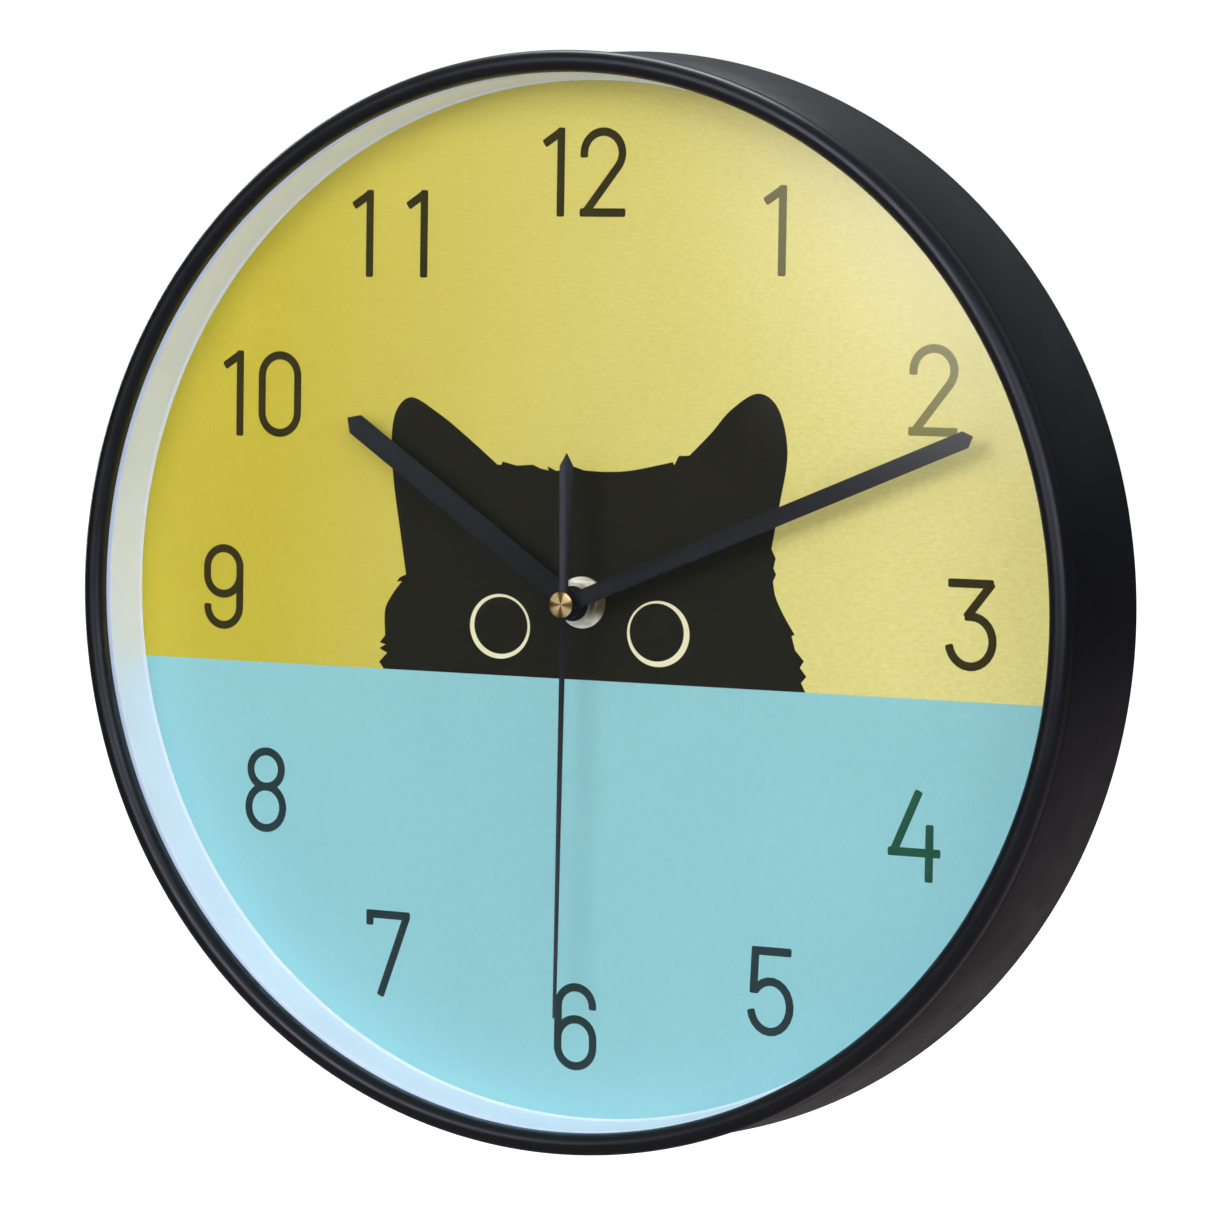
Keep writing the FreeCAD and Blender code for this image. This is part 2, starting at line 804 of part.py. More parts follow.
def make_movement_case():
    """A square cup, open to the rear, with a gear chamber above and a battery bay below a divider."""
    half = S.case_half
    body = new_body("movement_case")
    sketch = front_sketch(body, S.case_rear_plane)
    draw_outline(sketch, rounded_rectangle(-half, -half, half, half, S.case_corner))
    pad(body, sketch, S.case_rear_plane - S.case_front_plane)
    depth = S.case_rear_plane - S.case_floor_plane
    inside = half - S.case_wall
    for low, high in ((S.divider_top, inside), (-inside, S.divider_bottom)):
        sketch = front_sketch(body, S.case_floor_plane)
        draw_outline(sketch, rectangle(-inside, low, inside, high))
        pocket(body, sketch, depth)
    sketch = front_sketch(body, S.notch_plane)
    draw_outline(sketch, rectangle(-S.notch_half_width, -half, S.notch_half_width, -inside))
    pocket(body, sketch, S.case_rear_plane - S.notch_plane)
    sketch = front_sketch(body, S.case_floor_plane)
    draw_outline(sketch, rectangle(S.strip_tab_left, S.divider_bottom, S.strip_tab_right, S.divider_top))
    pocket(body, sketch, depth)
    cut_holes(body, [CENTRE], S.bush_radius, S.case_front_plane, S.bush_flange_plane)
    cut_holes(body, [CENTRE], S.bush_flange_radius, S.bush_flange_plane, S.case_floor_plane)
    cut_holes(body, [THIRD, ROTOR, SETTING], S.pivot_hole_radius, S.pivot_seat_plane, S.case_floor_plane)
    add_posts(body, [WORK], S.post_pin_radius, S.case_floor_plane, S.work_pin_rear_plane)
    add_posts(body, [(S.stator_post_left, S.stator_post_top), (S.stator_post_right, S.stator_post_top),
                     (S.stator_post_left, S.stator_post_bottom)],
              S.stator_post_radius, S.case_floor_plane, S.stator_plane)
    inset = S.middle_post_inset
    add_posts(body, [(S.middle_left + inset, S.middle_bottom + inset),
                     (S.middle_right - inset, S.middle_bottom + inset)],
              S.middle_post_radius, S.case_floor_plane, S.middle_front_plane)
    add_posts(body, [(S.board_post_left, S.board_post_low), (S.board_post_left, S.board_post_high)],
              S.stator_post_radius, S.case_floor_plane, S.board_plane)
    place(body)


def make_middle_plate():
    """The plate between the slow wheels in front and the fast wheels behind."""
    top_left = S.middle_spacer_left - S.middle_ear_half_width
    top_right = S.middle_spacer_left + S.middle_ear_half_width
    body = flat_piece("middle_plate", S.middle_rear_plane, S.middle_rear_plane - S.middle_front_plane, [
        (S.middle_left, S.middle_bottom),
        (S.middle_right, S.middle_bottom),
        (S.middle_right, S.middle_right_shoulder),
        (S.middle_notch_right, S.middle_notch_height),
        (top_right, S.middle_top),
        (top_left, S.middle_top),
        (S.middle_left, S.middle_left_shoulder),
    ])
    spacer = front_sketch(body, S.middle_front_plane)
    draw_circle(spacer, S.middle_spacer_left, S.middle_spacer_height, S.middle_post_radius)
    pad(body, spacer, S.middle_front_plane - S.stator_plane - S.stator_thickness)
    cut_holes(body, [CENTRE], S.pinion_pass_radius, S.middle_front_plane, S.middle_rear_plane)
    cut_holes(body, [THIRD, INTERMEDIATE], S.pivot_hole_radius, S.middle_front_plane, S.middle_rear_plane)


def make_movement_cover():
    """The rear cover of the gear chamber, with pivot bosses inside and a guard ring round the knob."""
    rear = S.case_rear_plane + S.cover_thickness
    body = flat_piece("movement_cover", rear, S.cover_thickness,
                      rounded_rectangle(-S.case_half, S.divider_bottom, S.case_half, S.case_half,
                                        S.cover_corner))
    sketch = front_sketch(body, S.case_rear_plane)
    for spot, hole_radius in ((CENTRE, S.arbor_hole_radius), (INTERMEDIATE, S.pivot_hole_radius),
                              (ROTOR, S.pivot_hole_radius)):
        draw_circle(sketch, *spot, S.pivot_boss_radius)
        draw_circle(sketch, *spot, hole_radius)
    pad(body, sketch, S.case_rear_plane - S.cover_boss_front_plane)
    guard = front_sketch(body, S.guard_rear_plane)
    draw_circle(guard, *SETTING, S.guard_radius)
    draw_circle(guard, *SETTING, S.guard_radius - S.guard_wall)
    pad(body, guard, S.guard_rear_plane - rear)
    cut_holes(body, [SETTING], S.setting_hole_radius, S.case_rear_plane, rear)


# ---------------------------------------------------------------- stepper motor and electronics

def make_motor():
    """The stator plate, the core across its two legs, the bobbin on the core and its winding."""
    rear = S.stator_plane + S.stator_thickness
    left_leg = S.stator_left + S.stator_leg
    right_leg = S.stator_right - S.stator_leg
    flat_piece("stator", rear, S.stator_thickness, [
        (S.stator_left, S.stator_bottom),
        (S.stator_right, S.stator_bottom),
        (S.stator_right, S.stator_top),
        (right_leg, S.stator_top),
        (right_leg, S.stator_web_top),
        (left_leg, S.stator_web_top),
        (left_leg, S.stator_top),
        (S.stator_left, S.stator_top),
    ], circles=[(*ROTOR, S.stator_hole_radius)])
    core_rear = rear + S.core_thickness
    flat_piece("motor_core", core_rear, S.core_thickness,
               rectangle(S.stator_left, S.core_bottom, S.stator_right, S.core_top))
    make_bobbin(rear, core_rear)


def make_bobbin(core_front, core_rear):
    middle_depth = (core_front + core_rear) / 2
    middle_height = (S.core_bottom + S.core_top) / 2
    sleeve_depth = S.core_thickness / 2 + S.bobbin_sleeve
    sleeve_height = (S.core_top - S.core_bottom) / 2 + S.bobbin_sleeve

    def ring(sketch, half_depth, half_height, hole_depth, hole_height):
        draw_outline(sketch, rectangle(middle_depth - half_depth, middle_height - half_height,
                                       middle_depth + half_depth, middle_height + half_height))
        draw_outline(sketch, rectangle(middle_depth - hole_depth, middle_height - hole_height,
                                       middle_depth + hole_depth, middle_height + hole_height))

    core_half_depth = S.core_thickness / 2
    core_half_height = (S.core_top - S.core_bottom) / 2
    bobbin = new_body("coil_bobbin")
    stages = [(S.bobbin_left, S.bobbin_flange, S.bobbin_half_size, S.bobbin_half_size),
              (S.bobbin_left + S.bobbin_flange, S.bobbin_right - S.bobbin_left - S.bobbin_flange * 2,
               sleeve_depth, sleeve_height),
              (S.bobbin_right - S.bobbin_flange, S.bobbin_flange, S.bobbin_half_size, S.bobbin_half_size)]
    for start, length, half_depth, half_height in stages:
        sketch = new_sketch(bobbin, "YZ_Plane", start)
        ring(sketch, half_depth, half_height, core_half_depth, core_half_height)
        pad(bobbin, sketch, length)
    place(bobbin)
    winding = new_body("coil_winding")
    sketch = new_sketch(winding, "YZ_Plane", S.bobbin_left + S.bobbin_flange)
    half = S.winding_radius
    draw_outline(sketch, rounded_rectangle(middle_depth - half, middle_height - half,
                                           middle_depth + half, middle_height + half, S.winding_corner))
    draw_outline(sketch, rectangle(middle_depth - sleeve_depth, middle_height - sleeve_height,
                                   middle_depth + sleeve_depth, middle_height + sleeve_height))
    pad(winding, sketch, S.bobbin_right - S.bobbin_left - S.bobbin_flange * 2)
    place(winding)


def make_electronics():
    rear = S.board_plane + S.board_thickness
    flat_piece("circuit_board", rear, S.board_thickness,
               rectangle(S.board_left, S.board_bottom, S.board_right, S.board_top))
    middle = (S.board_left + S.board_right) / 2
    crystal = document.addObject("Part::Cylinder", "quartz_crystal")
    crystal.Label = "quartz_crystal"
    bind(crystal, "Radius", S.crystal_radius)
    bind(crystal, "Height", S.crystal_length)
    bind(crystal, "Placement.Base.x", middle)
    bind(crystal, "Placement.Base.y", rear + S.crystal_radius)
    bind(crystal, "Placement.Base.z", S.crystal_bottom)
    PIECES.append(crystal)
    chip = new_body("chip_cover")
    revolve(chip, [
        (0, rear),
        (S.chip_radius, rear),
        (0, rear + S.chip_height, (S.chip_radius * S.chip_radius + S.chip_height * S.chip_height)
         / (S.chip_height * 2)),
    ])
    place(chip, across=middle, up=S.chip_height_on_board)


def make_battery():
    """A round cell on its side: its can with rounded rims, and the nub at its positive end."""
    body = new_body("battery")
    left = S.battery_left
    right = left + S.battery_length
    rim = S.battery_rim
    radius = S.battery_radius
    revolve(body, [
        (left, 0),
        (right + S.battery_nub_length, 0),
        (right + S.battery_nub_length, S.battery_nub_radius),
        (right, S.battery_nub_radius),
        (right, radius - rim),
        (right - rim, radius, rim),
        (left + rim, radius),
        (left, radius - rim, rim),
    ], axis="H_Axis")
    place(body, depth=S.battery_plane, up=S.battery_height)


def make_positive_contact():
    """A plate at the nub's end, and a strip along the divider with a tab into the gear chamber."""
    body = new_body("battery_contact_positive")
    right = S.case_half - S.case_wall
    left = right - S.contact_thickness
    sketch = front_sketch(body, S.contact_rear_plane)
    draw_outline(sketch, rectangle(left, S.battery_height - S.contact_half_height, right, S.strip_top))
    pad(body, sketch, S.contact_rear_plane - S.contact_plane)
    strip = front_sketch(body, S.strip_rear_plane)
    draw_outline(strip, rectangle(S.strip_tab_left, S.strip_top - S.contact_thickness, right, S.strip_top))
    pad(body, strip, S.strip_rear_plane - S.contact_plane)
    tab = front_sketch(body, S.strip_rear_plane)
    draw_outline(tab, rectangle(S.strip_tab_left, S.strip_top, S.strip_tab_right, S.strip_tab_top))
    pad(body, tab, S.strip_rear_plane - S.contact_plane)
    place(body)


def make_negative_contact():
    """A plate on the left wall of the battery bay with a conical coil spring that bears on the cell."""
    plate_left = S.contact_thickness.value - S.case_half.value + S.case_wall.value
    depth = S.battery_plane.value
    height = S.battery_height.value
    reach = S.battery_left.value - plate_left
    turns = S.coil_spring_turns.value
    wire = S.coil_spring_wire.value
    narrow = math.degrees(math.atan2(S.coil_spring_radius.value / 2, reach))
    path = Part.makeHelix((reach - wire) / turns, reach - wire, S.coil_spring_radius.value, -narrow)
    start = path.Vertexes[0].Point
    profile = Part.Wire(Part.makeCircle(wire / 2, start, Vector(0, 1, 0)))
    coil = Part.Wire(path.Edges).makePipeShell([profile], True, True)
    coil.rotate(Vector(0, 0, 0), Vector(0, 1, 0), 90)
    coil.translate(Vector(plate_left + wire / 4, depth, height))
    half = S.contact_half_height.value
    thickness = S.contact_thickness.value
    corner = Vector(plate_left - thickness, S.contact_plane.value, height - half)
    plate = Part.makeBox(thickness, S.contact_rear_plane.value - S.contact_plane.value, half * 2, corner)
    add_shape("battery_contact_negative", plate.fuse(coil).removeSplitter())


# ---------------------------------------------------------------- gears

def in_plane(radius, angle, depth):
    return Vector(radius * math.cos(angle), depth, radius * math.sin(angle))


def tooth_half_angle(radius, pitch_radius, base_radius, pitch_half_angle):
    """Half the angle that an involute tooth covers at a radius; below the base circle it stays the same."""
    def involute(at_radius):
        pressure = math.acos(min(base_radius / at_radius, 1.0))
        return math.tan(pressure) - pressure
    return pitch_half_angle + involute(pitch_radius) - involute(max(radius, base_radius))


def gear(teeth, module, addendum, mate_addendum, front, thickness, phase):
    """A solid spur gear. Phase is the angle in degrees of the middle of one tooth, from +X towards +Z."""
    pitch = teeth * module / 2
    base = pitch * math.cos(math.radians(PRESSURE_ANGLE))
    tip = pitch + addendum * module
    root = pitch - (mate_addendum + S.tip_clearance.value) * module
    half_tooth = (math.pi * module / 2 - S.backlash.value) / 2 / pitch
    flank = [root, max(base, root) * 0.5 + tip * 0.5, tip]
    half_angles = [tooth_half_angle(radius, pitch, base, half_tooth) for radius in flank]
    edges = []
    for tooth in range(teeth):
        middle = math.radians(phase) + 2 * math.pi * tooth / teeth
        rising = [in_plane(r, middle - half, front) for r, half in zip(flank, half_angles)]
        falling = [in_plane(r, middle + half, front) for r, half in zip(flank, half_angles)][::-1]
        next_root = middle + 2 * math.pi / teeth
        edges.append(Part.Arc(*rising).toShape())
        edges.append(Part.Arc(rising[-1], in_plane(tip, middle, front), falling[0]).toShape())
        edges.append(Part.Arc(*falling).toShape())
        edges.append(Part.Arc(falling[-1], in_plane(root, (middle + next_root) / 2, front),
                              in_plane(root, next_root - half_angles[0], front)).toShape())
    return Part.Face(Part.Wire(edges)).extrude(Vector(0, thickness, 0))


def wheel(teeth, module, front, thickness, phase):
    return gear(teeth, module.value, S.wheel_addendum.value, S.pinion_addendum.value,
                front.value, thickness.value, phase)


def pinion(teeth, module, front, thickness, phase):
    return gear(teeth, module.value, S.pinion_addendum.value, S.wheel_addendum.value,
                front.value, thickness.value, phase)


def rod(radius, front, rear):
    return Part.makeCylinder(radius.value, rear.value - front.value, Vector(0, front.value, 0), DEPTH_AXIS)


def fused(first, *others):
    return first.fuse(list(others)).removeSplitter()


def facing_phase(angle, teeth):
    """The phase of a gear that has a gap, not a tooth, towards a mate that stands at this angle."""
    return angle + 180 / teeth


def make_hour_group():
    tube_rod = rod(S.hour_tube_radius, S.hour_tube_front_plane, S.hour_wheel_plane)
    teeth = wheel(HOUR_TEETH, S.hour_module, S.hour_wheel_plane, S.hour_wheel_thickness,
                  S.minute_work_angle.value)
    bore = rod(S.hour_tube_bore, S.hour_tube_front_plane, S.hour_wheel_plane + S.hour_wheel_thickness)
    add_shape("hour_wheel", fused(teeth, tube_rod).cut(bore))


def make_minute_group():
    cannon_rear = S.cannon_plane + S.cannon_length
    body_rod = rod(S.minute_tube_radius, S.minute_tube_front_plane, cannon_rear + S.cannon_neck)
    teeth = pinion(CANNON_TEETH, S.cannon_module, S.cannon_plane, S.cannon_length,
                   S.minute_work_angle.value)
    bore = rod(S.minute_tube_bore, S.minute_tube_front_plane, cannon_rear + S.cannon_neck)
    add_shape("minute_tube", fused(teeth, body_rod).cut(bore))
    turned_piece("clutch_spring", [
        (S.minute_tube_radius, S.clutch_plane),
        (S.clutch_radius, S.clutch_plane + S.clutch_height - S.clutch_sheet),
        (S.clutch_radius, S.clutch_plane + S.clutch_height),
        (S.minute_tube_radius, S.clutch_plane + S.clutch_sheet),
    ])


def make_centre_wheel():
    teeth = wheel(CENTRE_TEETH, S.centre_module, S.centre_wheel_plane, S.centre_wheel_thickness,
                  S.third_angle.value)
    bore = rod(S.centre_bore, S.centre_wheel_plane, S.centre_wheel_plane + S.centre_wheel_thickness)
    add_shape("centre_wheel", teeth.cut(bore))


def make_minute_work_wheel():
    away = S.minute_work_angle.value + 180
    teeth = wheel(WORK_TEETH, S.cannon_module, S.work_wheel_plane, S.work_wheel_thickness,
                  facing_phase(away, WORK_TEETH))
    small = pinion(WORK_PINION_TEETH, S.hour_module, S.work_pinion_plane,
                   S.work_wheel_plane - S.work_pinion_plane, facing_phase(away, WORK_PINION_TEETH))
    hub = rod(S.work_hub_radius, S.work_wheel_plane, S.work_hub_rear_plane)
    bore = rod(S.post_pin_radius + S.running_gap, S.work_pinion_plane,
               S.work_pin_rear_plane + S.running_gap)
    add_shape("minute_work_wheel", fused(teeth, small, hub).cut(bore), *WORK)


def make_setting_group():
    """The setting arbor and its knob. One tooth gap of its gear faces a tooth of the minute-work wheel."""
    work_phase = facing_phase(S.minute_work_angle.value + 180, WORK_TEETH)
    tooth_pitch = 360 / WORK_TEETH
    offset = (S.setting_angle.value - work_phase) % tooth_pitch
    phase = S.setting_angle.value + 180 + 180 / SETTING_TEETH + offset * WORK_TEETH / SETTING_TEETH
    teeth = wheel(SETTING_TEETH, S.cannon_module, S.setting_gear_plane, S.setting_gear_thickness, phase)
    shaft = rod(S.setting_arbor_radius, S.setting_gear_plane, S.knob_front_plane + S.setting_socket_depth)
    pivot = rod(S.pivot_radius, S.pivot_end_plane, S.setting_gear_plane)
    add_shape("setting_arbor", fused(teeth, shaft, pivot), *SETTING)
    knob = new_body("setting_knob")
    socket = S.knob_front_plane + S.setting_socket_depth
    revolve(knob, [
        (S.setting_arbor_radius, S.knob_front_plane),
        (S.knob_radius, S.knob_front_plane),
        (S.knob_radius, S.knob_rear_plane - S.knob_edge),
        (S.knob_radius - S.knob_edge, S.knob_rear_plane),
        (0, S.knob_rear_plane),
        (0, socket),
        (S.setting_arbor_radius, socket),
    ])
    flute = cut_holes(knob, [(0, S.knob_radius)], S.knob_flute_radius,
                      S.knob_front_plane, S.knob_rear_plane)
    pattern_about_depth(knob, [flute], S.knob_flutes)
    place(knob, *SETTING)


def make_third_wheel():
    teeth = wheel(THIRD_TEETH, S.third_module, S.third_wheel_plane, S.third_wheel_thickness,
                  facing_phase(S.third_angle.value + 180, THIRD_TEETH))
    small = pinion(THIRD_PINION_TEETH, S.centre_module, S.third_pinion_plane,
                   S.third_wheel_plane - S.third_pinion_plane,
                   facing_phase(S.third_angle.value + 180, THIRD_PINION_TEETH))
    shaft = rod(S.pivot_radius, S.pivot_end_plane, S.middle_rear_plane - S.pivot_end_gap)
    add_shape("third_wheel", fused(teeth, small, shaft), *THIRD)


def make_seconds_group():
    """A steel arbor through the whole movement, and the moulded wheel and pinion pressed on it."""
    turned_piece("seconds_arbor", tube(0, S.arbor_radius, S.arbor_front_plane, S.arbor_rear_plane))
    teeth = wheel(SECONDS_TEETH, S.seconds_module, S.seconds_wheel_plane, S.seconds_wheel_thickness,
                  S.intermediate_angle.value)
    small = pinion(SECONDS_PINION_TEETH, S.third_module, S.seconds_pinion_plane,
                   S.seconds_pinion_rear_plane - S.seconds_pinion_plane, S.third_angle.value)
    hub = rod(S.work_hub_radius, S.seconds_pinion_rear_plane, S.seconds_wheel_plane)
    bore = rod(S.arbor_radius, S.seconds_pinion_plane, S.seconds_wheel_plane + S.seconds_wheel_thickness)
    add_shape("seconds_wheel", fused(teeth, small, hub).cut(bore))


def make_intermediate_wheel():
    small = pinion(INTERMEDIATE_PINION_TEETH, S.seconds_module, S.intermediate_pinion_plane,
                   S.intermediate_wheel_plane - S.intermediate_pinion_plane,
                   facing_phase(S.intermediate_angle.value + 180, INTERMEDIATE_PINION_TEETH))
    teeth = wheel(INTERMEDIATE_TEETH, S.fast_module, S.intermediate_wheel_plane,
                  S.intermediate_wheel_thickness, S.rotor_angle.value)
    shaft = rod(S.pivot_radius, S.middle_front_plane + S.pivot_end_gap, S.arbor_rear_plane)
    add_shape("intermediate_wheel", fused(teeth, small, shaft), *INTERMEDIATE)


def make_rotor():
    small = pinion(ROTOR_TEETH, S.fast_module, S.rotor_pinion_plane,
                   S.rotor_pinion_rear_plane - S.rotor_pinion_plane,
                   facing_phase(S.rotor_angle.value + 180, ROTOR_TEETH))
    shaft = rod(S.pivot_radius, S.pivot_end_plane, S.arbor_rear_plane)
    add_shape("rotor_pinion", fused(small, shaft), *ROTOR)
    magnet = rod(S.magnet_radius, S.magnet_plane, S.magnet_rear_plane)
    add_shape("rotor_magnet", magnet.cut(rod(S.pivot_radius, S.magnet_plane, S.magnet_rear_plane)), *ROTOR)


# ---------------------------------------------------------------- hands

def make_hand(name, plane, angle, length, width, hub_radius, bore, collar_radius, collar_length):
    """A flat bar with a pencil point, on a round hub whose collar is pressed on its tube."""
    body = new_body(name)
    half = width / 2
    blade = front_sketch(body, plane)
    draw_outline(blade, [
        (-half, bore + S.hand_root_gap),
        (half, bore + S.hand_root_gap),
        (half, length - half),
        (0, length),
        (-half, length - half),
    ])
    pad(body, blade, S.hand_thickness)
    hub = front_sketch(body, plane)
    draw_circle(hub, 0, 0, hub_radius)
    draw_circle(hub, 0, 0, bore)
    pad(body, hub, S.hand_thickness)
    collar = front_sketch(body, plane + collar_length)
    draw_circle(collar, 0, 0, collar_radius)
    draw_circle(collar, 0, 0, bore)
    pad(body, collar, collar_length)
    place(body, angle=angle)


def make_hour_and_minute_hands():
    make_hand("hour_hand", S.hour_hand_plane, S.hour_hand_angle, S.hour_hand_length, S.hour_hand_width,
              S.hour_hub_radius, S.hour_tube_radius, S.hour_collar_radius, S.hour_collar_length)
    make_hand("minute_hand", S.minute_hand_plane, S.minute_hand_angle, S.minute_hand_length,
              S.minute_hand_width, S.minute_hub_radius, S.minute_tube_radius, S.minute_collar_radius,
              S.minute_collar_length)


def make_second_hand():
    """A thin needle with a spear-tipped tail, on a small hub, and the turned brass cap in front of it."""
    body = new_body("second_hand")
    root = S.second_root_width / 2
    end = S.second_end_width / 2
    neck = S.second_neck_width / 2
    tail = S.second_tail_width / 2
    start = S.second_hub_radius - S.hand_root_gap
    needle = front_sketch(body, S.second_hand_plane)
    draw_outline(needle, [(-root, start), (root, start), (end, S.second_hand_length),
                          (-end, S.second_hand_length)])
    pad(body, needle, S.hand_thickness)
    spear = front_sketch(body, S.second_hand_plane)
    draw_outline(spear, [(neck, -start), (-neck, -start), (-tail, -S.second_tail_shoulder),
                         (0, -S.second_tail_length), (tail, -S.second_tail_shoulder)])
    pad(body, spear, S.hand_thickness)
    hub = front_sketch(body, S.second_hand_plane)
    draw_circle(hub, 0, 0, S.second_hub_radius)
    draw_circle(hub, 0, 0, S.arbor_radius)
    pad(body, hub, S.second_hand_plane - S.cap_rear_plane)
    sleeve = front_sketch(body, S.second_hand_plane + S.second_sleeve_length)
    draw_circle(sleeve, 0, 0, S.second_sleeve_radius)
    draw_circle(sleeve, 0, 0, S.arbor_radius)
    pad(body, sleeve, S.second_sleeve_length)
    place(body, angle=S.second_hand_angle)
    turned_piece("second_hand_cap", [
        (0, S.cap_front_plane),
        (S.cap_radius - S.cap_edge, S.cap_front_plane),
        (S.cap_radius, S.cap_front_plane + S.cap_edge),
        (S.cap_radius, S.cap_rear_plane),
        (0, S.cap_rear_plane),
    ])


# ---------------------------------------------------------------- build, check and write

def make_clock():
    make_case_frame()
    make_glass()
    make_reflector_ring()
    make_dial()
    make_dial_plate_screws()
    make_threaded_bush()
    make_washer_and_nut()
    make_hanger_bracket()
    make_gasket()
    make_movement_case()
    make_middle_plate()
    make_movement_cover()
    make_motor()
    make_electronics()
    make_battery()
    make_positive_contact()
    make_negative_contact()
    make_hour_group()
    make_minute_group()
    make_centre_wheel()
    make_minute_work_wheel()
    make_setting_group()
    make_third_wheel()
    make_seconds_group()
    make_intermediate_wheel()
    make_rotor()
    make_hour_and_minute_hands()
    make_second_hand()


def check_document():
    for item in document.Objects:
        if "Invalid" in item.State or "Error" in item.State:
            raise RuntimeError(f"{item.Name} failed: {item.State}")
    for piece in PIECES:
        if piece.Shape.isNull() or not piece.Shape.isValid() or not piece.Shape.Solids:
            raise RuntimeError(f"{piece.Label} has no valid shape")


make_clock()
document.recompute()
check_document()
os.makedirs("parts", exist_ok=True)
for piece in PIECES:
    piece.Shape.exportStep(f"parts/{piece.Label}.step")
    print(f"{piece.Label}: {len(piece.Shape.Solids)} solid, {piece.Shape.Volume:.2f} mm3")
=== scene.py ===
"""The looks of a round quartz wall clock with a cat on its dial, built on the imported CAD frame.

Everything is in the frame's own axes: +Z is up, the dial faces -Y, the wall is at +Y, and the hands turn
about the Y axis through the origin. Sizes are written in millimetres and become metres in make_object().
"""
import math

import bmesh
import bpy
from mathutils import Matrix, Vector
from mathutils.geometry import delaunay_2d_cdt


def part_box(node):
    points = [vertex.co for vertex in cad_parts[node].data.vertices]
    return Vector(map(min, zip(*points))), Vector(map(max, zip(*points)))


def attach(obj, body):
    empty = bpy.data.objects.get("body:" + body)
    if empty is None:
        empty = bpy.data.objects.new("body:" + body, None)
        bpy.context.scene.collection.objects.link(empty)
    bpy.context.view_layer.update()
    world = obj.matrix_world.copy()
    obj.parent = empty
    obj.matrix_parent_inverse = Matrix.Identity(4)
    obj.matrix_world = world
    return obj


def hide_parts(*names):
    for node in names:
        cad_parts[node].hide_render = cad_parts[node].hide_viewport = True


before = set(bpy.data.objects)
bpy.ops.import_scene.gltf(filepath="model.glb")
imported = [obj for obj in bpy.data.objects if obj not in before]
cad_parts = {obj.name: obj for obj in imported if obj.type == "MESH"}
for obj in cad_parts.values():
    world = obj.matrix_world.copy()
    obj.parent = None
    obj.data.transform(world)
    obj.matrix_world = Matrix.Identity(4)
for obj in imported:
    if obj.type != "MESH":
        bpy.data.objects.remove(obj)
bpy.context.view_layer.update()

MM = 0.001
TURN = 2 * math.pi
AROUND = 288                 # steps round a large turned piece
AROUND_SMALL = 64            # steps round a small turned piece
SUNK = 0.05                  # how far a joined-on form sinks into the one that carries it
SHARP = math.radians(32)     # edges that fold more than this stay crisp
FLAT_SHARP = math.radians(12)   # the same, for flat pieces with narrow bevels


def span(node):
    """Lowest and highest corner of a CAD node, in millimetres."""
    low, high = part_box(node)
    return low / MM, high / MM


# ---------------------------------------------------------------- sizes from the frame

RIM_LOW, RIM_HIGH = span("case_frame")
GLASS_LOW, GLASS_HIGH = span("glass_lens")
RING_LOW, RING_HIGH = span("reflector_ring")
PAPER_LOW, PAPER_HIGH = span("dial_paper")
PLATE_REAR = span("dial_plate")[1].y
WASHER_HIGH = span("bush_washer")[1]
CAP_LOW, CAP_HIGH = span("second_hand_cap")
BATTERY_LOW, BATTERY_HIGH = span("battery")
COVER_LOW, COVER_HIGH = span("movement_cover")
KNOB_LOW, KNOB_HIGH = span("setting_knob")

FRONT_PLANE = RIM_LOW.y
WALL_PLANE = RIM_HIGH.y
GLASS_FRONT = GLASS_LOW.y
GLASS_REAR = GLASS_HIGH.y
DIAL_PLANE = PAPER_LOW.y
PAPER_REAR = PAPER_HIGH.y

# rim
REAR_RADIUS = RIM_HIGH.x
REAR_WALL = 2.35
RIM_CHAMFER = 0.8
SIDE_FRONT_RADIUS = 147.4
SIDE_FRONT_PLANE = -15.0
BEAD_OUTER = 147.9
BEAD_INNER = 142.1
BEAD_BACK_PLANE = -17.3
GROOVE_RADIUS = 146.9
GROOVE_FRONT = -16.1
GROOVE_REAR = -15.6
SEAT_RADIUS = 144.8
INNER_WALL_RADIUS = 145.2
POST_FRONT_PLANE = -14.9
POCKET_RADIUS = 146.6
POST_RING_RADIUS = 144.4
POST_RADIUS = 1.8
PILOT_RADIUS = 0.85
POST_COUNT = 6

# dial print: each layer of ink stands a little in front of the one below it
INK = 0.02
HORIZON = -21.1              # height of the edge between the yellow and the blue
STROKE = 2.3                 # width of a numeral's line
END_ROUND = 0.5              # rounding of a line's square ends
DIGIT_HEIGHT = 24.0
SIX_WIDTH = 13.0
CURVE_STEPS = 20


# ---------------------------------------------------------------- plain geometry

def srgb(red, green, blue):
    """A colour given in 0-255 display values, as the linear values that shaders use."""
    def linear(value):
        value /= 255
        return value / 12.92 if value <= 0.04045 else ((value + 0.055) / 1.055) ** 2.4
    return (linear(red), linear(green), linear(blue), 1.0)


def arc(x, z, radius_x, radius_z, start, end, steps=CURVE_STEPS):
    """Points on an ellipse from one angle to another, in degrees anticlockwise from the right."""
    points = []
    for step in range(steps + 1):
        angle = math.radians(start + (end - start) * step / steps)
        points.append((x + radius_x * math.cos(angle), z + radius_z * math.sin(angle)))
    return points


def circle(x, z, radius, steps=AROUND_SMALL):
    return arc(x, z, radius, radius, 0, 360, steps)[:-1]


